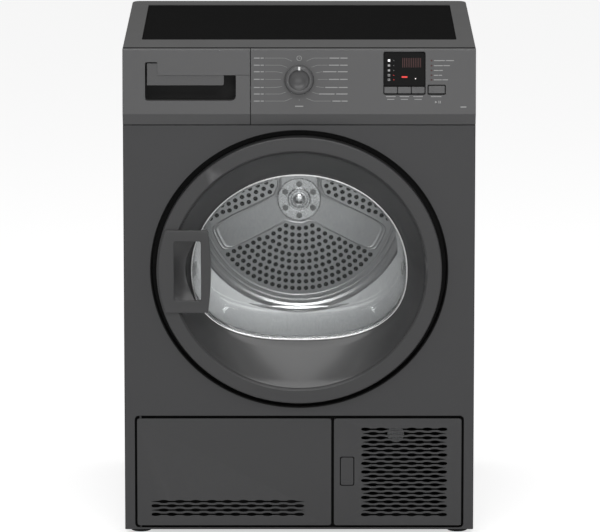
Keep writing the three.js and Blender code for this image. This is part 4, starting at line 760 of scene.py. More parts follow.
class DRYER_OT_worktop(Piece, bpy.types.Operator):
    """Worktop frame with its dark inset plate"""

    bl_idname = "dryer.worktop"
    bl_label = "Worktop"

    def make(self, shape, finish):
        low, high = span("worktop_frame")
        corner = 18
        outline = fillet(
            [(low.x, low.y), (high.x, low.y), (high.x, high.y), (low.x, high.y)], [0, 0, corner, corner], 9
        )
        slab = plate("worktop_frame", outline, low.z, high.z, axis=2)
        bevel(slab, shape.worktop_round / MM, 4, angle=60)
        inset_low, inset_high = span("worktop_inset")
        well_outline = fillet(
            [(inset_low.x - 0.4, inset_low.y - 0.4), (inset_high.x + 0.4, inset_low.y - 0.4)]
            + [(inset_high.x + 0.4, inset_high.y + 0.4), (inset_low.x - 0.4, inset_high.y + 0.4)],
            5,
        )
        well = plate("well", well_outline, inset_low.z - 0.3, high.z + 2, axis=2)
        plastic_frame = plastic("worktop plastic", finish.worktop, 0.5, grain=650.0, depth=0.00006, wear=0.4)
        settle(cut(slab, well), "cabinet", plastic_frame, ["worktop_frame"])
        # A dark strip along the worktop's front edge stands in for the shadow in the seam above the console:
        # painted shadow.
        seal = block(
            "worktop_seal", low.x + 1, high.x - 1, low.y - 0.5, low.y + 0.1, high.z - 2.4, high.z - 0.3
        )
        seam_shadow = plastic("dish paint", finish.dark, 0.6)
        settle(seal, "cabinet", seam_shadow)
        inset_outline = fillet(
            [(inset_low.x, inset_low.y), (inset_high.x, inset_low.y)]
            + [(inset_high.x, inset_high.y), (inset_low.x, inset_high.y)],
            4.6,
        )
        inset = bevel(plate("worktop_inset", inset_outline, inset_low.z, inset_high.z, axis=2), 0.5, 2)
        dark = plastic("worktop panel", finish.inset, 0.8, grain=900.0, depth=0.00003, dust=0.003, shine=0.02)
        settle(inset, "cabinet", dark, ["worktop_inset"])


# ---- Console ----
def painted_highlight_line(name, x0, x1, y, z, body, grey):
    """A thin pale strip along a front edge: a painted highlight where the edge would catch the light."""
    rim = [
        (y + 0.6 * math.cos(a), z + 0.6 * math.sin(a))
        for a in np.linspace(0, 2 * math.pi, 12, endpoint=False)
    ]
    line = plate(name, rim, x0, x1, axis=0)
    settle(line, body, plastic("rolled edge", grey, 0.3, grain=620.0, wear=0.0, dust=0.0))


def console_bar(name, x0, x1, shape):
    """A length of the console's moulding, solid to its back edge."""
    lip, nose = shape.lip_round / MM, shape.nose_round / MM
    top = TOP - 1.5
    profile = [(13.5, CONSOLE_LOW.z), (0.3, CONSOLE_LOW.z), (LIP_Y, LIP_Z), (face_y(top), top), (13.5, top)]
    return plate(name, fillet(profile, [0.6, 1.5, lip, nose, 0.8], 6), x0, x1, axis=0)


class DRYER_OT_fascia(Piece, bpy.types.Operator):
    """Console fascia with its pockets for the display and buttons"""

    bl_idname = "dryer.fascia"
    bl_label = "Console fascia"

    def make(self, shape, finish):
        bar = console_bar("console_fascia", CONSOLE_LOW.x, SIDE, shape)
        bevel(bar, 0.5, 2, angle=60)
        glass_low, glass_high = span("display_window")
        left, right = glass_low.x - 1.4, glass_high.x + 1.4
        low, high = 766.9, glass_high.z + 1.4
        display_well = plate("well", panel_outline(left, right, low, high, 4), -20, 9)
        start_low, start_high = span("start_button")
        start_outline = panel_outline(start_low.x - 1.6, start_high.x + 1.6, 766.9, start_high.z + 2.2, 3)
        start_well = plate("well", start_outline, -20, 9)
        stem = turned("stem", [(0, -20), (6, -20), (6, 12), (0, 12)], 0, KNOB_Z, 32)
        cut(bar, display_well, start_well, stem)
        console = plastic("console plastic", finish.console, 0.32, grain=620.0, depth=0.00003, wear=0.0)
        settle(bar, "cabinet", console, ["console_fascia"], angle=7)

        # Pale strips along the console's nose and the front panel's top edge: painted highlights.
        nose = TOP - 2.5
        painted_highlight_line(
            "console_edge", CONSOLE_LOW.x + 1, SIDE - 1, face_y(nose) + 1.0, nose, "cabinet", finish.edge
        )
        painted_highlight_line("panel_edge", 2 - SIDE, SIDE - 2, 0.6, PANEL_HIGH.z - 1.5, "cabinet", finish.edge)

        # Dark surround, with a hole for each button.
        middle = (low + high) / 2
        rim = plate(
            "surround", panel_outline(left + 0.1, right - 0.1, low - middle + 0.1, high - middle - 0.1, 4),
            0.7, 4
        )
        for n in (1, 2, 3):
            button_low, button_high = span(f"option_button_{n}")
            hole = block(
                "hole", button_low.x - 0.3, button_high.x + 0.3, -5, 9, low - middle + 1.2, 781.2 - middle
            )
            cut(rim, hole)
        window = block(
            "hole", glass_low.x - 0.2, glass_high.x + 0.2, -5, 9, glass_low.z - middle, high - middle - 1.1
        )
        cut(rim, window)
        bevel(rim, 0.3, 1)
        on_face(rim, middle)
        start_middle = (766.9 + start_high.z + 2.2) / 2
        half = (start_high.z + 2.2 - 766.9) / 2 - 0.1
        start_rim = plate(
            "surround", panel_outline(start_low.x - 1.5, start_high.x + 1.5, -half, half, 3), 0.7, 4
        )
        hole = block("hole", start_low.x - 0.3, start_high.x + 0.3, -5, 9, -half + 1.2, half - 1.2)
        bevel(cut(start_rim, hole), 0.3, 1)
        on_face(start_rim, start_middle)
        black = plastic(
            "display black", finish.glossy, 0.35, grain=300.0, depth=0.00001, dust=0.0, shine=0.12
        )
        settle(joined("button_surround", [rim, start_rim]), "cabinet", black)


class DRYER_OT_display(Piece, bpy.types.Operator):
    """Display window with its lit marks"""

    bl_idname = "dryer.display"
    bl_label = "Display"

    def make(self, shape, finish):
        low, high = span("display_window")
        middle = (low.z + high.z) / 2
        half = (high.z - low.z) / 2
        outline = fillet([(low.x, -half), (high.x, -half), (high.x, half), (low.x, half)], [1.5, 1.5, 4, 4])
        pane = bevel(plate("display_window", outline, 0, 2.5), 0.4, 2)
        black = plastic("display black", finish.glossy, 0.12)
        settle(on_face(pane, middle), "cabinet", black, ["display_window"])

        def mark(name, x0, x1, z0, z1, radius=0.3):
            flat = plate(name, panel_outline(x0, x1, z0 - middle, z1 - middle, radius, 3), -0.08, 0.3)
            return on_face(flat, middle)

        lit = [mark("icon", 149.6, 153.4, 822.9, 826.6)]
        lit.append(mark("dot", 195.2, 197.0, 793.0, 794.8, 0.8))
        settle(
            joined("lit_white_marks", lit), "cabinet", lamp("white lamp", finish.white, 0.8)
        )
        dim = [mark("icon", 149.4, 153.2, z, z + 3.4) for z in (814.6, 806.3)]
        for z in (798.0, 790.4):
            edge = mark("icon", 149.4, 153.2, z, z + 3.6)
            cut(edge, mark("hole", 150.1, 152.5, z + 0.7, z + 2.9))
            dim.append(edge)
        dim += [mark("dot", 158.9, 159.9, z, z + 1.0, 0.4) for z in (824.2, 815.8, 807.6)]
        settle(joined("dim_marks", dim), "cabinet", lamp("dim lamp", finish.printed, 0.12))
        stripes = [mark("stripe", x, x + 1.1, 813, 829) for x in np.arange(174, 207, 3.0)]
        faint = (0.075, 0.022, 0.02)
        settle(joined("digit_stripes", stripes), "cabinet", lamp("faint digits", faint, 0.12))
        red = [mark("pill", 172.5, 182.5, 795.6, 798.2, 1.2)]
        red += [mark("dot", 158.9, 160.1, z, z + 1.2, 0.5) for z in (799.2, 791.6)]
        settle(joined("lit_red_marks", red), "cabinet", lamp("red lamp", finish.red, 0.5))


class DRYER_OT_buttons(Piece, bpy.types.Operator):
    """Option buttons and the start button"""

    bl_idname = "dryer.buttons"
    bl_label = "Buttons"

    def make(self, shape, finish):
        grey = plastic("button plastic", finish.console, 0.35, grain=620.0, depth=0.00003)
        jobs = [(f"option_button_{n}", f"option_{n}") for n in (1, 2, 3)] + [("start_button", "start")]
        for name, body in jobs:
            low, high = span(name)
            middle = (low.z + high.z) / 2 + 0.8
            half = (high.z - low.z) / 2 - 0.4
            cap = plate(name, panel_outline(low.x, high.x, -half, half, 1.2, 3), -1.6, 12)
            bevel(cap, 1.4, 3, angle=60)
            settle(on_face(cap, middle), body, grey, [name])
        low, high = span("release_button")
        key = plate(
            "release_button", panel_outline(low.x + 0.6, high.x - 0.6, low.z + 0.6, high.z - 0.6, 3.5),
            low.y, high.y
        )
        bevel(key, 0.6, 3, angle=60)
        nib = bevel(block("nib", low.x + 5, high.x - 5, low.y - 0.5, 1, low.z + 6, low.z + 8), 0.4, 2)
        kick = plastic("kick plastic", finish.kick, 0.5)
        settle(joined("release_button", [key, nib]), "release", kick, ["release_button"])


class DRYER_OT_print(Piece, bpy.types.Operator):
    """Scale around the knob and dashes that stand for the labels"""

    bl_idname = "dryer.print"
    bl_label = "Printed scale"

    def make(self, shape, finish):
        heights = (828.7, 816.8, 805.8, 793.0, 779.4, 768.4, 756.5)
        starts = (51.0, 50.0, 40.0, 50.0, 44.0, 33.0, 56.0)
        marks = []

        def dash(x0, x1, z, tall=1.5):
            flat = plate("dash", panel_outline(x0, x1, -tall / 2, tall / 2, tall * 0.3, 2), -0.06, 0.3)
            marks.append(on_face(flat, z))

        def leader(x0, z0, x1, z1):
            run = math.hypot(x1 - x0, z1 - z0)
            line = block("leader", 0, run, -0.06, 0.3, -0.2, 0.2)
            home = Matrix.Translation((0, PANEL_Y, 0))
            turn = Matrix.Rotation(-math.atan2(z1 - z0, x1 - x0), 4, "Y")
            line.data.transform(home @ turn @ home.inverted())
            line.data.transform(shifted(x0, 0, 0))
            marks.append(on_face(line, z0))

        for z, begin in zip(heights, starts):
            dash(-76.5, -66.5, z)
            dash(-65.0, -59.5, z)
            dash(begin, begin + (81.6 - begin) * 0.55, z)
            dash(begin + (81.6 - begin) * 0.6, 81.6, z)
            near = min(46.0, math.sqrt(max(0.0, 35.0**2 - (z - KNOB_Z) ** 2)) + 2)
            target = KNOB_Z + (z - KNOB_Z) * 0.86
            leader(-57.5, z, -max(near, 20.0) - 4, z)
            leader(-max(near, 20.0) - 4, z, -max(near - 6, 12.0), target)
            leader(begin - 2, z, max(near, 20.0) + 4, z)
            leader(max(near, 20.0) + 4, z, max(near - 6, 12.0), target)
        dash(-7, 7, 747.8, 1.8)
        leader(0.0, 757.0, 0.0, 760.0)
        dial = turned("clock", [(3.6, -0.06), (4.3, -0.06), (4.3, 0.3), (3.6, 0.3)], 0, 0, 32)
        marks.append(on_face(dial, 828.4))
        leader(0.0, 828.4, 0.0, 831.0)
        leader(0.0, 828.4, 2.0, 828.4)
        for z, wide in zip((824.5, 816.0, 808.0, 799.8, 792.2), (34, 27, 15, 14, 24)):
            dash(227, 227 + wide * 0.55, z, 1.4)
            dash(227 + wide * 0.6, 227 + wide, z, 1.4)
        for n in (1, 2, 3):
            low, high = span(f"option_button_{n}")
            dash(low.x + 3, high.x - 3, 764.1, 1.4)
            dash(low.x + 5, high.x - 5, 759.4, 1.2)
        dash(222, 240, 764.1, 1.4)
        dash(272, 282, 746.5, 2.0)
        play = plate("play", [(229, -2.2), (233, 0), (229, 2.2)], -0.06, 0.3)
        marks.append(on_face(play, 754.8))
        for x in (235.0, 237.4):
            bar = block("bar", x, x + 1.2, -0.06, 0.3, -2.2, 2.2)
            marks.append(on_face(bar, 754.8))
        ink = plastic("console print", finish.printed, 0.5, wear=0.0, dust=0.0)
        settle(joined("console_print", marks), "cabinet", ink)
        dots = []
        for z in (824.5, 816.0, 808.0, 799.8, 792.2):
            bead = plate("lamp", panel_outline(221.6, 224.4, -1.4, 1.4, 0.5, 2), -0.15, 0.4)
            dots.append(on_face(bead, z))
        settle(
            joined("option_lamps", dots), "cabinet",
            lamp("dim red lamp", (0.06, 0.012, 0.012), 0.1)
        )


class DRYER_OT_knob(Piece, bpy.types.Operator):
    """Programme knob with its dished face and white mark"""

    bl_idname = "dryer.knob"
    bl_label = "Programme knob"

    def make(self, shape, finish):
        stand, radius, dish = 13.5, (KNOB_HIGH.x - KNOB_LOW.x) / 2, 17.5
        profile = [(0, -0.6), (0, 12), (3, 12), (3, -0.6), (radius - 1.0, -0.6), (radius, -1.4)]
        profile += [(radius - 0.3, -stand * 0.6), (radius - 1.0, 3.2 - stand), (radius - 2.2, 1.2 - stand)]
        profile += [(radius - 4.0, 0.2 - stand), (dish + 1.2, -stand), (dish, 0.6 - stand)]
        bowl = [
            (dish * math.cos(a), 0.6 - stand + 7.5 * math.sin(a)) for a in np.linspace(0.12, math.pi / 2, 9)
        ]
        body = turned("program_knob", profile + bowl, 0, 0, 96)
        grey = plastic("knob plastic", finish.console, 0.3, grain=620.0, depth=0.00002, wear=0.6)
        settle(on_face(body, KNOB_Z), "knob", grey, ["program_knob"])
        mark = plate(
            "knob_mark", panel_outline(-1.8, 1.8, dish - 0.6, dish + 5.2, 0.8), -stand - 0.35, -stand + 3
        )
        bevel(mark, 0.2, 2, angle=60)
        # The knob's white mark gets a faint glow although it is no lamp: painted light.
        white = lamp("knob mark white", finish.white, 0.05)
        settle(on_face(mark, KNOB_Z), "knob", white)


class DRYER_OT_drawer(Piece, bpy.types.Operator):
    """Water drawer: its front with the grip pocket, and the tank"""

    bl_idname = "dryer.drawer"
    bl_label = "Water drawer"

    def make(self, shape, finish):
        left, right, bottom, top = -259.9, -106.7, 757.0, 821.8
        band, step = 800.0, -239.0
        bar = console_bar("tank_front", -SIDE, SPLIT_X - 0.5, shape)
        bevel(bar, 0.5, 2, angle=60)
        # The pocket's tub is coloured much darker than the console: painted shade inside the recess.
        tub = block("grip_pocket", left - 2.5, right + 2.5, 2.2, 24.5, bottom - 2.5, top + 2.5)
        cut(tub, plate("room", panel_outline(left, right, bottom, top, 9), 0, 22))
        shade = plastic("pocket plastic", finish.pocket, 0.6, wear=0.0, shine=0.2)
        settle(bevel(tub, 0.4, 2), "drawer", shade)
        corners = [(left, bottom), (right, bottom), (right, band), (step, band), (step, top), (left, top)]
        mouth = plate("mouth", fillet(corners, [5, 9, 2, 1, 2, 3]), -20, 3)
        hollow = block("hollow", left - 3, right + 3, 2, 20, bottom - 3, top + 3)
        line = block(
            "line", right - 1, SPLIT_X + 5, face_y(band) - 3, face_y(band) + 1.2, band - 0.45, band + 0.45
        )
        cut(bar, mouth, hollow, line)
        console = plastic("console plastic", finish.console, 0.4)
        settle(bar, "drawer", console, ["tank_front"], angle=7)
        # Pale strip along the drawer's nose: a painted highlight.
        nose = TOP - 2.5
        painted_highlight_line("drawer_edge", 1 - SIDE, SPLIT_X - 1.5, face_y(nose) + 1.0, nose, "drawer", finish.edge)
        grip_middle = (782.6 + top) / 2
        corners = [(left + 3.2, 782.6), (-126.8, 782.6), (-126.8, band + 1), (step + 0.6, band + 1)]
        corners += [(step + 0.6, top - 2), (left + 3.2, top - 2)]
        outline = [(x, z - grip_middle) for x, z in fillet(corners, [1, 4, 1, 0, 0, 1])]
        grip = on_face(bevel(plate("drawer_grip", outline, 1.6, 4.4), 0.7, 3, angle=60), grip_middle)
        grip_grey = plastic("grip plastic", finish.console, 0.4, wear=0.0)
        settle(grip, "drawer", grip_grey)

        low, high = span("tank_body")
        tank = block("tank_body", low.x, high.x, low.y, high.y, low.z, high.z)
        bevel(tank, 5, 4, angle=60)
        inside = block("inside", low.x + 2, high.x - 2, low.y + 2, high.y - 2, low.z + 2, high.z + 5)
        bevel(inside, 4, 3, angle=60)
        cut(tank, inside)
        rim = [
            block("rim", low.x - 0.6, high.x + 0.6, low.y, low.y + 3, high.z - 3, high.z - 0.5),
            block("rim", low.x - 0.6, high.x + 0.6, high.y - 3, high.y, high.z - 3, high.z - 0.5),
        ]
        neck = block("neck", low.x + 6, high.x - 6, 24, low.y + 0.5, 763, 801.8)
        milky = plastic("tank plastic", finish.tank, 0.35, grain=200.0, depth=0.00003, wear=0.0)
        for strip in rim:
            bevel(strip, 0.5, 2)
        settle(
            joined("tank_body", [tank, bevel(neck, 1, 2), *rim]), "drawer", milky,
            ["tank_body"]
        )


# ---- Door ----
class DRYER_OT_door_ring(Piece, bpy.types.Operator):
    """Door ring, the bowl inside it and the bright wire around the window"""

    bl_idname = "dryer.door_ring"
    bl_label = "Door ring and bowl"

    def make(self, shape, finish):
        front, skirt = RING_LOW.y, RING_HIGH.y
        profile = fillet(
            [
                (BOWL_R, BOWL_Y), (BOWL_R + 3.5, front), (RING_R - 1.7, front), (RING_R, front + 1.7),
                (RING_R, skirt)
            ]
            + [(RING_R - 3, skirt), (RING_R - 3, front + 6), (RING_R - 7, front + 3), (BOWL_R, front + 4)],
            [0.4, 1.5, 1, 1, 0.8, 0.8, 2, 2, 0.3],
            4,
        )
        ring = turned("door_frame", profile, ratio=OVAL)
        notch = block("notch", 210, RING_R + 5, front + 7, 40, DOOR_Z - 46, DOOR_Z + 46)
        # Edge amount 1.0 paints a strong highlight along the ring's sharp edges, beyond any wear.
        lacquer = plastic("ring lacquer", finish.ring, 0.3, grain=620.0, depth=0.00002, wear=1.0, coat=0.1)
        settle(cut(ring, notch), "door", lacquer, ["door_frame"], angle=24)

        rows = [door_row(BOWL_Y - 0.4, 0, -0.5), door_row(BOWL_Y + 0.6, 0, -1.6)]
        for t in np.linspace(0.05, 0.93, 9):
            y = BOWL_Y + t * (WINDOW_Y - BOWL_Y)
            rows.append(door_row(y, mix_at(y), -1.8 * (1 - t) + 1.6 * math.sin(math.pi * t)))
        rows += [
            door_row(WINDOW_Y - 1.5, 0.99, -0.6), door_row(WINDOW_Y, 1, -1.2), door_row(WINDOW_Y, 1, 2.5)
        ]
        rows += [door_row(SEAL_Y, mix_at(SEAL_Y), 2.5), door_row(BOWL_Y + 1.5, 0, -0.4)]
        gloss = plastic("bowl plastic", finish.bowl, 0.3, grain=300.0, depth=0.00001, wear=0.0, coat=0.3)
        settle(skin("door_funnel", rows), "door", gloss, ["door_funnel"], angle=50)

        thick = shape.trim_round / MM
        rows = []
        for a in np.linspace(0, 2 * math.pi, 12, endpoint=False):
            rows.append(door_row(WINDOW_Y - 1.2 + thick * math.sin(a), 1, -2.2 + thick * math.cos(a)))
        chrome = metal("bright trim", finish.bright, 0.16, (60.0, 60.0, 60.0))
        settle(skin("window_trim", rows), "door", chrome, angle=60)


class DRYER_OT_door_glass(Piece, bpy.types.Operator):
    """Bowl of the window, with its flange"""

    bl_idname = "dryer.door_glass"
    bl_label = "Window glass"

    def make(self, shape, finish):
        y0, y1, wall, turn_in = GLASS_LOW.y, GLASS_HIGH.y, 2.4, 9.0

        def bowl_row(y, grow, scale=1.0):
            row = door_row(y, 1, grow, scale)
            back = max(0.0, (y - y0 - wall) / (y1 - y0 - wall))
            row[:, 2] += (WINDOW_Z + WINDOW_UP - row[:, 2]) * shape.glass_rise * back * scale
            return row

        rows = [door_row(y0, 1, 5), door_row(y0 + wall, 1, 5), door_row(y0 + wall + 0.3, 1, -1)]
        straight = y1 - turn_in
        outer = [(y0 + wall + t * (straight - y0 - wall), -1 - 4 * t) for t in np.linspace(0.12, 1, 8)]
        angles = np.linspace(0.2, math.pi / 2, 7)
        outer += [(straight + turn_in * math.sin(a), -5 - (turn_in + 2) * (1 - math.cos(a))) for a in angles]
        edge = outer[-1][1]
        rows += [bowl_row(y, grow) for y, grow in outer]
        rows += [bowl_row(y1, edge, scale) for scale in (0.85, 0.6, 0.3, 0.0)]
        rows += [bowl_row(y1 - wall, edge, scale) for scale in (0.0, 0.3, 0.6, 0.85)]
        rows += [bowl_row(y - wall, grow - wall * 0.8) for y, grow in reversed(outer)]
        rows.append(door_row(y0, 1, -1 - wall))
        pane = skin("door_glass", rows)
        settle(pane, "door", window_glass(finish.glass), ["door_glass"], angle=50)


class DRYER_OT_door_inside(Piece, bpy.types.Operator):
    """Inner ring of the door, its screws, and the seal on the cabinet"""

    bl_idname = "dryer.door_inside"
    bl_label = "Door inside and seal"

    def make(self, shape, finish):
        low, high = span("door_back_ring")
        edge = RING_R - 3.3
        mix = mix_at(low.y)
        rows = [oval(edge, low.y), oval(edge, high.y - 0.8), oval(edge - 0.8, high.y), oval(edge - 9, high.y)]
        rows += [oval(edge - 11, high.y - 1), door_row(high.y - 1, mix, 13), door_row(high.y, mix, 11)]
        rows += [door_row(high.y, mix, 3.4), door_row(high.y - 0.6, mix, 2.9), door_row(low.y, mix, 2.9)]
        ring = skin("door_back_ring", rows)
        notch = block("notch", 210, RING_R + 5, 0, 40, DOOR_Z - 46, DOOR_Z + 46)
        cut(ring, notch)
        y = high.y - 1
        head = turned("head", [(0, y), (4, y), (3.8, y + 1.2), (2.8, y + 1.9), (0, y + 1.9)], 0, 0, 20)
        cross = [
            block("bar", -2.4, 2.4, y + 0.9, y + 3, -0.4, 0.4),
            block("bar", -0.4, 0.4, y + 0.9, y + 3, -2.4, 2.4)
        ]
        cut(head, *cross)
        turns = np.radians([35, 90, 145, 215, 250, 290, 325])
        places = [shifted(222 * math.cos(a), 0, DOOR_Z + 222 * OVAL * math.sin(a)) for a in turns]
        screws = copied("screws", head, places)
        dark = plastic("inner plastic", finish.dark, 0.6)
        settle(ring, "door", dark, ["door_back_ring"], angle=24)
        settle(screws, "door", metal("screw steel", finish.steel, 0.3, (300.0, 300.0, 300.0)))

        low, high = span("door_gasket")
        seal = mix_at(SEAL_Y)
        bulb = fillet(
            [(6.3, low.y + 0.4), (10, low.y), (15.8, low.y + 1.5), (16, high.y), (6, high.y)],
            [1.5, 2.5, 2, 0.6, 0.6], 4
        )
        gasket = skin("door_gasket", [door_row(y, seal, grow) for grow, y in bulb])
        rubber = plastic("black rubber", finish.rubber, 0.7, grain=400.0, depth=0.00005, wear=0.0, dust=0.03)
        settle(gasket, "cabinet", rubber, ["door_gasket"], angle=50)


class DRYER_OT_door_handle(Piece, bpy.types.Operator):
    """Handle plate with its opening and the slope behind it"""

    bl_idname = "dryer.door_handle"
    bl_label = "Door handle"

    def make(self, shape, finish):
        low, high = span("door_handle")
        low.z += 5
        high.z += 3.5
        back, front = RING_LOW.y - 0.2, low.y
        reach = RING_R - 3
        rise = np.linspace(high.z, low.z, 17)
        outline = [(-reach * math.sqrt(1 - ((z - DOOR_Z) / (reach * OVAL)) ** 2), z) for z in rise]
        right = -154.5
        half = (high.z - low.z) / 2
        middle = (high.z + low.z) / 2
        outline += [(right + 5.0 * (1 - ((z - middle) / half) ** 2), z) for z in rise[::-1]]
        bar = plate("door_handle", outline, front, back)
        opening = panel_outline(-212.3, -166.5, low.z + 21, high.z - 19, 4)
        window = plate("window", opening, front - 5, back + 5)
        cut(bar, window)
        bevel(bar, 1.1, 3, angle=50)
        lacquer = plastic("ring lacquer", finish.ring, 0.3)
        settle(bar, "door", lacquer, ["door_handle"], angle=40)

        # The slope starts at the opening's left edge and its curved end leaves a lens-shaped hole.
        across, up = 18, 24
        rows = []
        for thick in (0.0, 1.3):
            sheet = []
            for i in range(across + 1):
                row = []
                for j in range(up + 1):
                    v = -1 + 2 * j / up
                    edge = -193.0 + 18.0 * v * v
                    x = -214.0 + (edge + 214.0) * i / across
                    bend = math.sin(math.pi / 2 * i / across)
                    y = front + 1.6 + 15.0 * bend * (1 - abs(v) ** 2.6)
                    row.append((x, y + thick, middle + 1 + v * (half - 17)))
                sheet.append(row)
            rows.append(sheet)
        face, rear = (np.array(sheet) for sheet in rows)
        loops = [np.concatenate([face[i], rear[i][::-1]]) for i in range(across + 1)]
        slope = skin("handle_slope", loops, round_rows=False)
        dark = plastic("handle slope plastic", finish.bowl, 0.34, grain=620.0)
        settle(slope, "door", dark, angle=40)


class DRYER_OT_door_fittings(Piece, bpy.types.Operator):
    """Hinge leaf and bracket, and the door's catch"""

    bl_idname = "dryer.door_fittings"
    bl_label = "Hinge and catch"

    def make(self, shape, finish):
        steel = metal("hinge steel", finish.steel, 0.35, (400.0, 400.0, 60.0))
        dark = plastic("inner plastic", finish.dark, 0.6)
        jobs = [
            ("hinge_leaf", "door", "bare_steel", steel),
            ("hinge_bracket", "cabinet", "bare_steel", steel),
            ("door_catch", "door", "inner_plastic", dark),
            ("door_latch", "cabinet", "inner_plastic", dark),
        ]
        for name, body, slot, material in jobs:
            piece = softened(name, 0.35)
            settle(piece, body, material, [name])


def softened(node, width, angle=40):
    """A copy of a CAD node with its doubles merged and its edges rounded."""
    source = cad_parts[node]
    twin = source.copy()
    twin.data = source.data.copy()
    twin.name = node + "_piece"
    twin.parent = None
    for key in [key for key in twin.keys() if key.startswith("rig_")]:
        del twin[key]
    twin.hide_render = False
    bpy.context.scene.collection.objects.link(twin)
    with editing(twin):
        bpy.ops.mesh.remove_doubles(threshold=1e-5)
        bpy.ops.mesh.dissolve_limited(angle_limit=math.radians(2))
    return bevel(twin, width, 2, angle)


# ---- Kick area ----
def bead_chain(x0, x1, z, pitch, first, beads, shape):
    """Outline of one vent slot: lens-shaped beads on a thin neck."""
    half_long = shape.bead_long / MM / 2
    neck, tall = shape.neck_tall / MM / 2, shape.bead_tall / MM / 2
    centres = [first + n * pitch for n in range(beads)]
    along = [x0 + 0.01]
    for centre in centres:
        for t in (-1, -0.75, -0.45, 0, 0.45, 0.75, 1):
            along.append(centre + t * half_long)
    along.append(x1 - 0.01)
    along = sorted(x for x in set(np.round(along, 3)) if x0 <= x <= x1)

    def half_height(x):
        near = min(abs(x - centre) for centre in centres) / half_long
        lens = max(0.0, 1 - near * near)
        end = min(1.0, (min(x - x0, x1 - x) + 0.2) / 1.2)
        return (neck + (tall - neck) * lens) * end

    upper = [(x, z + half_height(x)) for x in along]
    lower = [(x, z - half_height(x)) for x in reversed(along)]
    return upper + lower


def kick_cover(name, low, high, depth):
    """A moulded cover: a face with rounded corners and a rim behind it."""
    cover = plate(name, panel_outline(low.x + 0.9, high.x - 0.9, low.z + 0.9, high.z - 2.0, 5), 0.2, depth)
    hollow = plate("hollow", panel_outline(low.x + 2, high.x - 2, low.z + 2, high.z - 2, 3), 2.5, depth + 2)
    cut(cover, hollow)
    return bevel(cover, 0.8, 3, angle=60)


class DRYER_OT_grille(Piece, bpy.types.Operator):
    """Grille cover with its rows of beaded slots"""

    bl_idname = "dryer.grille"
    bl_label = "Grille cover"

    def make(self, shape, finish):
        left, right, bottom, top = 105.8, 253.1, 34.9, 191.9
        cover = kick_cover("grille_cover", GRILLE_LOW, GRILLE_HIGH, GRILLE_HIGH.y)
        pitch = (right - left) / (shape.vent_beads - 0.5)
        rise = (top - bottom) / shape.vent_rows
        half_long = shape.bead_long / MM / 2
        tools = []
        for row in range(shape.vent_rows):
            z = bottom + (row + 0.5) * rise
            if row % 2 == 0:
                outline = bead_chain(
                    left, right, z, pitch * 0.985, left + half_long - 1.2, shape.vent_beads, shape
                )
            else:
                first = left + half_long - 1.2 + pitch * 0.49
                outline = bead_chain(
                    left + 3, right - 3, z, pitch * 0.985, first, shape.vent_beads - 1, shape
                )
            tools.append(plate("slot", outline, -3, 5))
        release_low, release_high = span("release_button")
        gap = panel_outline(
            release_low.x - 0.9, release_high.x + 0.9, release_low.z - 0.9, release_high.z + 0.9, 4
        )
        tools.append(plate("slot", gap, -3, 5))
        cut(cover, joined("slots", tools))
        grey = plastic("kick plastic", finish.kick, 0.5, grain=620.0, depth=0.00004, wear=0.4)
        settle(cover, "cabinet", grey, ["grille_cover"])


class DRYER_OT_flap(Piece, bpy.types.Operator):
    """Service flap with its rows of beaded slots, pins and tongue"""

    bl_idname = "dryer.flap"
    bl_label = "Service flap"

    def make(self, shape, finish):
        left, right, bottom, top = -252.8, 9.1, 35.4, 65.3
        low = Vector((FLAP_LOW.x, 0, KICK_BOTTOM))
        high = Vector((FLAP_HIGH.x, 0, KICK_TOP))
        cover = kick_cover("service_flap", low, high, 10)
        pitch = (right - left) / (shape.flap_beads - 0.5)
        rise = (top - bottom) / shape.flap_rows
        half_long = shape.bead_long / MM / 2
        tools = []
        for row in range(shape.flap_rows):
            z = bottom + (row + 0.5) * rise
            if row % 2 == 0:
                first, beads = left + half_long - 1.2, shape.flap_beads
            else:
                first, beads = left + half_long - 1.2 + pitch / 2, shape.flap_beads - 1
            tools.append(plate("slot", bead_chain(left, right, z, pitch * 0.99, first, beads, shape), -3, 5))
        cut(cover, joined("slots", tools))
        pins = []
        for z0, z1 in ((KICK_BOTTOM - 4.2, KICK_BOTTOM + 8), (KICK_TOP - 8, KICK_TOP + 4.2)):
            pin = post(
                "pin", [(0, z0), (1.6, z0), (2, z0 + 0.4), (2, z1 - 0.4), (1.6, z1), (0, z1)], -271, 5, 24
            )
            pins.append(pin)
        tongue = bevel(block("tongue", high.x - 12, high.x - 1, 1.5, 10, 104, 124), 0.8, 2)
        grey = plastic("kick plastic", finish.kick, 0.5)
        flap = joined("service_flap", [cover, *pins, tongue])
        settle(flap, "flap", grey, ["service_flap"])


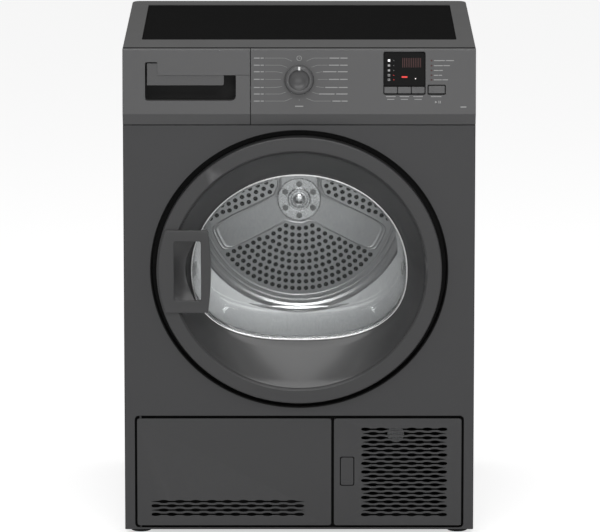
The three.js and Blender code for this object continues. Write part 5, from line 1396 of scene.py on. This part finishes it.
class DRYER_OT_base(Piece, bpy.types.Operator):
    """Feet, base tray and the condenser behind the flap"""

    bl_idname = "dryer.base"
    bl_label = "Base and feet"

    def make(self, shape, finish):
        rubber = plastic("black rubber", finish.rubber, 0.7)
        for name, body in (
            ("foot_front_left", "foot_fl"),
            ("foot_front_right", "foot_fr"),
            ("foot_back_left", "foot_bl"),
            ("foot_back_right", "foot_br"),
        ):
            low, high = span(name)
            x, y = (low.x + high.x) / 2, (low.y + high.y) / 2
            pad = [(0, 0.0), (16.5, 0.0), (18, 1.2), (18, 4.5), (16, 7.2), (11, 8), (0, 8)]
            piece = post("pad", pad, x, y)
            ribs = [(0, 7.5)]
            for z in np.arange(13.5, high.z - 1, 1.6):
                ribs += [(4.4, z), (5.0, z + 0.8)]
            stem = post("stem", ribs + [(4.4, high.z - 0.4), (0, high.z)], x, y, 24)
            nut = start("nut", bpy.ops.mesh.primitive_cylinder_add, vertices=6, radius=0.0085, depth=0.005)
            nut.data.transform(Matrix.Translation((x * MM, y * MM + PANEL_Y, 0.0104)))
            foot = joined(name, [piece, stem, bevel(nut, 0.4, 2)])
            settle(foot, body, rubber, [name])
        dark = plastic("inner plastic", finish.dark, 0.6)
        for name, body, width in (
            ("base_tray", "cabinet", 0.8),
            ("condenser_cover", "cabinet", 1.2),
            ("condenser_lever_left", "lever_left", 1.2),
            ("condenser_lever_right", "lever_right", 1.2),
        ):
            settle(softened(name, width), body, dark, [name])


# ---- Drum and drive ----
class DRYER_OT_drum(Piece, bpy.types.Operator):
    """Drum shell with rolled grooves, and its lifters"""

    bl_idname = "dryer.drum"
    bl_label = "Drum"

    def make(self, shape, finish):
        steel = metal("drum steel", finish.drum, 0.42, (500.0, 90.0, 500.0))
        front, back = DRUM_LOW.y, DRUM_HIGH.y
        mouth, wall = 256.0, 1.2
        outer = [(mouth, front + 1.2), (mouth + 1, front), (DRUM_R - 4, front), (DRUM_R, front + 4)]
        inner = [
            (DRUM_R - wall, front + 5), (DRUM_R - 5, front + wall), (mouth + 1, front + wall),
            (mouth, front + 1.2)
        ]
        for y in (front + 40, front + 140, back - 140, back - 40):
            outer += [(DRUM_R, y - 5), (DRUM_R - 2, y - 2), (DRUM_R - 2, y + 2), (DRUM_R, y + 5)]
        outer += [(DRUM_R, back), (DRUM_R - wall, back)]
        for y in (back - 40, back - 140, front + 140, front + 40):
            outer += [
                (DRUM_R - wall, y + 5), (DRUM_R - wall - 2, y + 2), (DRUM_R - wall - 2, y - 2),
                (DRUM_R - wall, y - 5)
            ]
        shell = turned("drum_shell", outer + inner[:-1], 0, DRUM_Z, 120)
        settle(shell, "drum", steel, ["drum_shell"])

        grey = plastic("lifter plastic", finish.lifter, 0.4, grain=300.0)
        base = DRUM_R - wall - 2.4
        ribs = [
            (-29, base - 1.8), (-14, base - 36), (-6, base - 46), (6, base - 46), (14, base - 36),
            (29, base - 1.8)
        ]
        for name, turn in zip(("drum_lifter_1", "drum_lifter_2", "drum_lifter_3"), LIFTER_TURNS):
            rib = plate(name, fillet(ribs, [1, 10, 6, 6, 10, 1], 4), 95, 488)
            bevel(rib, 4, 3, angle=60)
            home = Matrix.Translation((0, PANEL_Y, 0))
            rib.data.transform(home @ shifted(0, 0, DRUM_Z, turn, "Y") @ home.inverted())
            settle(rib, "drum", grey, [name])


def star_radius(angle, shape):
    """Reach of the three-armed star in one direction from the drum's centre."""
    reach = 46.0
    for turn, extra in ((90.0, 12.0), (206.5, 0.0), (333.5, 0.0)):
        off = (angle - math.radians(turn) + math.pi) % (2 * math.pi) - math.pi
        if abs(off) < math.pi / 2:
            half = shape.arm_half / MM + extra
            reach = max(reach, min(166.0, half / max(1e-6, abs(math.sin(off)))))
    return reach


class DRYER_OT_drum_back(Piece, bpy.types.Operator):
    """Perforated back of the drum with its pressed star, hub and bolts"""

    bl_idname = "dryer.drum_back"
    bl_label = "Drum back"

    def make(self, shape, finish):
        low = span("drum_back")[0]
        y = low.y
        edge = DRUM_R - 1.8
        profile = [
            (9.8, y), (190, y), (194, y - 2.5), (198, y - 2.5), (202, y), (262, y - 12.5), (266, y - 13),
            (edge, y - 6)
        ]
        profile += [(edge, y - 5), (266.2, y - 12), (262, y - 11.5), (202, y + 1), (9.8, y + 1)]
        sheet = turned("drum_back", profile, 0, DRUM_Z, 120)
        radius, pitch = shape.hole_round / MM, shape.hole_pitch / MM
        spots = []
        for ring in np.arange(54.0, 166.0, pitch):
            number = int(2 * math.pi * ring / pitch)
            for n in range(number):
                angle = 2 * math.pi * n / number + math.pi / 2
                near = [star_radius(angle + side * 4 / ring, shape) for side in (-1, 0, 1)]
                if max(near) < ring - 4:
                        spots.append((ring * math.cos(angle), ring * math.sin(angle)))
        drill = start(
            "drill", bpy.ops.mesh.primitive_cylinder_add, vertices=10, radius=radius * MM, depth=0.01
        )
        with editing(drill):
            bpy.ops.transform.rotate(value=math.pi / 2, orient_axis="X", center_override=(0, 0, 0))
        drill.data.transform(Matrix.Translation((0, PANEL_Y + y * MM, DRUM_Z * MM)))
        cut(sheet, copied("drills", drill, [shifted(x, 0, z) for x, z in spots]))
        # The drum back uses the drum's steel at 0.7 of its brightness: painted shade deep in the drum.
        steel = metal("drum back steel", [0.7 * part for part in finish.drum], 0.3, (450.0, 450.0, 160.0))
        settle(sheet, "drum", steel, ["drum_back"])

        angles = np.linspace(0, 2 * math.pi, 240, endpoint=False)
        reach = np.array([star_radius(a, shape) for a in angles])
        for _ in range(3):
            reach = (np.roll(reach, 1) + 2 * reach + np.roll(reach, -1)) / 4

        def star_row(grow, depth, scale=1.0):
            far = (reach + grow) * scale
            return np.stack(
                [far * np.cos(angles), np.full(len(angles), y - depth), DRUM_Z + far * np.sin(angles)],
                axis=1
            )

        rows = [
            star_row(0, -0.5), star_row(0, 0), star_row(-1.2, 1.2), star_row(-2.4, 1.5), star_row(-3.8, 0.9)
        ]
        rows += [star_row(-5.4, 0.9), star_row(-6.8, 1.5), star_row(-8.2, 1.7), star_row(-9.8, 1.1)]
        rows += [
            star_row(-12, 1.0), star_row(-12, 1.0, 0.6), star_row(-12, 1.0, 0.3), star_row(-12, -0.5, 0.3)
        ]
        star = skin("drum_star", rows)
        settle(star, "drum", steel, angle=50)
        rings = []
        for ring in (175.0, 184.0):
            bead = [(ring + 2.2 * math.cos(a), y - 1.9 * math.sin(a)) for a in np.linspace(0, math.pi, 9)]
            rings.append(
                turned("bead", bead + [(ring - 2.2, y + 0.4), (ring + 2.2, y + 0.4)], 0, DRUM_Z, 144)
            )
        settle(joined("drum_back_beads", rings), "drum", steel, angle=50)

        hub_low, hub_high = span("drum_hub")
        face = hub_low.y
        profile = [(0, face - 0.6), (8, face), (10, face + 1.2), (11, face + 3.2), (14, face + 3.4)]
        profile += [
            (15.5, face + 1.2), (18.5, face + 1.2), (20, face + 2.6), (20, 494.2), (22, 493.8), (37, 493.8),
            (38.7, 495.2), (38.7, y)
        ]
        profile += [(9.5, y), (9.5, hub_high.y - 1), (8.5, hub_high.y), (0, hub_high.y)]
        hub = turned("drum_hub", profile, 0, DRUM_Z, 64)
        bolt = start("bolt", bpy.ops.mesh.primitive_cylinder_add, vertices=6, radius=0.0058, depth=0.0055)
        with editing(bolt):
            bpy.ops.transform.rotate(value=math.pi / 2, orient_axis="X", center_override=(0, 0, 0))
        bevel(bolt, 0.5, 2)
        bolt.data.transform(Matrix.Translation((0, PANEL_Y + 492.0 * MM, DRUM_Z * MM)))
        turns = [math.pi / 2 + n * math.pi / 3 for n in range(6)]
        bolts = copied("hub_bolts", bolt, [shifted(28.5 * math.cos(a), 0, 28.5 * math.sin(a)) for a in turns])
        bright = metal("hub steel", finish.drum, 0.24, (300.0, 300.0, 300.0))
        settle(hub, "drum", bright, ["drum_hub"])
        settle(bolts, "drum", metal("bolt steel", finish.bolt, 0.3, (300.0, 300.0, 300.0)))


class DRYER_OT_bulkhead(Piece, bpy.types.Operator):
    """Smooth tunnel between the door and the drum, the felt ring and the rollers"""

    bl_idname = "dryer.bulkhead"
    bl_label = "Tunnel and rollers"

    def make(self, shape, finish):
        dark = plastic("inner plastic", finish.dark, 0.6)
        mix = mix_at(26)
        rows = [
            door_row(26.2, mix, 4.8), door_row(79.2, mix, 4.8), door_row(80.4, mix, 5.8),
            door_row(80.4, mix, 9.2)
        ]
        rows += [door_row(29, mix, 9.2), door_row(27.5, mix, 9.6), door_row(26, mix, 9.2)]
        tunnel = skin("drum_tunnel", rows)
        gap = block("gap", -92, 92, 44, 64, 250, 350)
        pale = plastic("tunnel plastic", finish.tunnel, 0.3, grain=300.0, wear=0.0)
        settle(cut(tunnel, gap), "cabinet", pale, angle=50)
        low, high = span("drum_felt_ring")
        profile = fillet([(250.4, low.y), (254, low.y), (254, high.y), (250.4, high.y)], 1.2, 3)
        felt = plastic("felt", finish.felt, 0.95, grain=1600.0, depth=0.0003, wear=0.0)
        ring = turned("drum_felt_ring", profile, 0, DRUM_Z)
        settle(ring, "cabinet", felt, ["drum_felt_ring"])
        rubber = plastic("black rubber", finish.rubber, 0.7)
        for name, body in (("drum_roller_left", "roller_left"), ("drum_roller_right", "roller_right")):
            low, high = span(name)
            x, z = (low.x + high.x) / 2, (low.z + high.z) / 2
            profile = [
                (5.3, low.y), (12, low.y), (13, low.y + 4), (26, low.y + 4), (27, low.y), (33.5, low.y)
            ]
            profile += [(35, low.y + 1.5), (35, high.y - 1.5), (33.5, high.y), (27, high.y), (26, high.y - 4)]
            profile += [(13, high.y - 4), (12, high.y), (5.3, high.y)]
            settle(turned(name, profile, x, z, 48), body, rubber, [name])
        settle(softened("front_bulkhead", 0.5, 60), "cabinet", dark, ["front_bulkhead"])


class DRYER_OT_inner_pieces(Piece, bpy.types.Operator):
    """Pieces that keep their solid shape, with rounded edges and their own finishes"""

    bl_idname = "dryer.inner_pieces"
    bl_label = "Inner pieces"

    def make(self, shape, finish):
        coated = plastic("coated sheet", finish.dark, 0.7, shine=0.2)
        cast = metal("motor steel", finish.steel, 0.38, (300.0, 60.0, 300.0))
        alloy = metal("condenser alloy", finish.alloy, 0.35, (40.0, 500.0, 500.0))
        bronze = metal("bearing bronze", finish.bronze, 0.35, (300.0, 40.0, 300.0))
        dark = plastic("inner plastic", finish.dark, 0.6)
        rubber = plastic("black rubber", finish.rubber, 0.7)
        pale = plastic("filter plastic", finish.lifter, 0.5, grain=300.0)
        green = plastic("board lacquer", finish.board, 0.4, grain=250.0)
        jobs = [
            ("rear_bulkhead", coated, 0.3),
            ("heater_duct", coated, 0.4),
            ("rear_bearing", bronze, 0.3),
            ("drum_belt", rubber, 0.3),
            ("motor_stator", coated, 0.8),
            ("condenser_core", alloy, 0.3),
            ("fan_housing", dark, 0.6),
            ("drain_pump", dark, 1.0),
            ("lint_filter", pale, 1.0),
            ("cable_gland", rubber, 0.4),
            ("tank_guide", dark, 0.5),
            ("control_board", green, 0.2),
        ]
        for name, material, width in jobs:
            settle(softened(name, width), "cabinet", material, [name])
        settle(softened("motor_rotor", 0.4), "motor", cast, ["motor_rotor"])
        settle(softened("fan_wheel", 0.3), "motor", dark, ["fan_wheel"])


# ---- Stage ----
class DRYER_OT_stage(Piece, bpy.types.Operator):
    """Pale floor, soft lamps, world and camera"""

    bl_idname = "dryer.stage"
    bl_label = "Stage"

    def make(self, shape, finish):
        scene = bpy.context.scene
        scene.view_settings.view_transform = "Standard"
        floor = start("floor", bpy.ops.mesh.primitive_plane_add, size=60)
        material, tree, shader = blank_material("pale floor", 0.9)
        shader.inputs["Base Color"].default_value = (0.92, 0.92, 0.92, 1)
        shader.inputs["Specular IOR Level"].default_value = 0.0
        path = tree.nodes.new("ShaderNodeLightPath")
        glow = math_node(tree, "MULTIPLY", path.outputs["Is Camera Ray"], 0.62)
        shader.inputs["Emission Color"].default_value = (1, 1, 1, 1)
        tree.links.new(glow, shader.inputs["Emission Strength"])
        floor.data.materials.append(material)

        world = bpy.data.worlds.new("studio")
        scene.world = world
        world.use_nodes = True
        tree = world.node_tree
        soft = tree.nodes["Background"]
        soft.inputs["Color"].default_value = (1, 1, 1, 1)
        soft.inputs["Strength"].default_value = 0.31
        white = tree.nodes.new("ShaderNodeBackground")
        white.inputs["Strength"].default_value = 1.0
        path = tree.nodes.new("ShaderNodeLightPath")
        seen = math_node(tree, "MAXIMUM", path.outputs["Is Camera Ray"], path.outputs["Is Transmission Ray"])
        blend = tree.nodes.new("ShaderNodeMixShader")
        tree.links.new(seen, blend.inputs["Fac"])
        tree.links.new(soft.outputs["Background"], blend.inputs[1])
        tree.links.new(white.outputs["Background"], blend.inputs[2])
        tree.links.new(blend.outputs["Shader"], tree.nodes["World Output"].inputs["Surface"])

        def softbox(name, size, place_at, aim, power):
            light = bpy.data.lights.new(name, "AREA")
            light.shape = "RECTANGLE"
            light.size, light.size_y = size
            light.energy = power
            obj = bpy.data.objects.new(name, light)
            obj.location = place_at
            obj.rotation_euler = (Vector(aim) - Vector(place_at)).to_track_quat("-Z", "Y").to_euler()
            scene.collection.objects.link(obj)

        softbox("top softbox", (3.2, 2.0), (0.0, -0.3, 3.4), (0.0, 0.0, 0.4), 20.5)
        softbox("high front softbox", (3.0, 1.1), (0.0, -2.5, 2.9), (0.0, -0.3, 0.3), 31)
        softbox("low front softbox", (2.4, 1.4), (0.4, -5.0, 1.1), (0.0, 0.0, 0.5), 22)
        softbox("left softbox", (1.2, 2.0), (-3.2, -2.2, 1.5), (0.0, 0.0, 0.5), 5)
        softbox("drum lamp", (0.16, 0.08), (0.0, PANEL_Y + 0.12, 0.735), (0.0, PANEL_Y + 0.3, 0.3), 1.1)

        eye = bpy.data.cameras.new("camera")
        eye.lens = 324.8
        eye.sensor_width = 36.0
        eye.clip_end = 200
        camera = bpy.data.objects.new("camera", eye)
        camera.location = (0.0014, PANEL_Y - 9.028, 2.1778)
        camera.rotation_euler = (math.radians(90 - 10.7), 0, 0)
        scene.collection.objects.link(camera)
        scene.camera = camera


class DRYER_PT_pieces(bpy.types.Panel):
    """Buttons for the dryer's pieces and its settings"""

    bl_idname = "DRYER_PT_pieces"
    bl_label = "Clothes Dryer"
    bl_space_type = "VIEW_3D"
    bl_region_type = "UI"
    bl_category = "Dryer"

    def draw(self, context):
        for operator in OPERATORS:
            self.layout.operator(operator.bl_idname)
        for settings in (context.scene.dryer_shape, context.scene.dryer_finish):
            box = self.layout.box()
            for name in settings.__annotations__:
                box.prop(settings, name)


OPERATORS = (
    DRYER_OT_front_panel,
    DRYER_OT_side_panels,
    DRYER_OT_rear_panel,
    DRYER_OT_worktop,
    DRYER_OT_fascia,
    DRYER_OT_display,
    DRYER_OT_buttons,
    DRYER_OT_print,
    DRYER_OT_knob,
    DRYER_OT_drawer,
    DRYER_OT_door_ring,
    DRYER_OT_door_glass,
    DRYER_OT_door_inside,
    DRYER_OT_door_handle,
    DRYER_OT_door_fittings,
    DRYER_OT_grille,
    DRYER_OT_flap,
    DRYER_OT_base,
    DRYER_OT_drum,
    DRYER_OT_drum_back,
    DRYER_OT_bulkhead,
    DRYER_OT_inner_pieces,
    DRYER_OT_stage,
)
SETTINGS = (DryerShape, DryerFinish)


def register():
    for cls in (*SETTINGS, *OPERATORS, DRYER_PT_pieces):
        bpy.utils.register_class(cls)
    bpy.types.Scene.dryer_shape = bpy.props.PointerProperty(type=DryerShape)
    bpy.types.Scene.dryer_finish = bpy.props.PointerProperty(type=DryerFinish)


def unregister():
    del bpy.types.Scene.dryer_finish
    del bpy.types.Scene.dryer_shape
    for cls in reversed((*SETTINGS, *OPERATORS, DRYER_PT_pieces)):
        bpy.utils.unregister_class(cls)


def main():
    register()
    for operator in OPERATORS:
        family, name = operator.bl_idname.split(".")
        getattr(getattr(bpy.ops, family), name)()


if __name__ == "__main__":
    main()
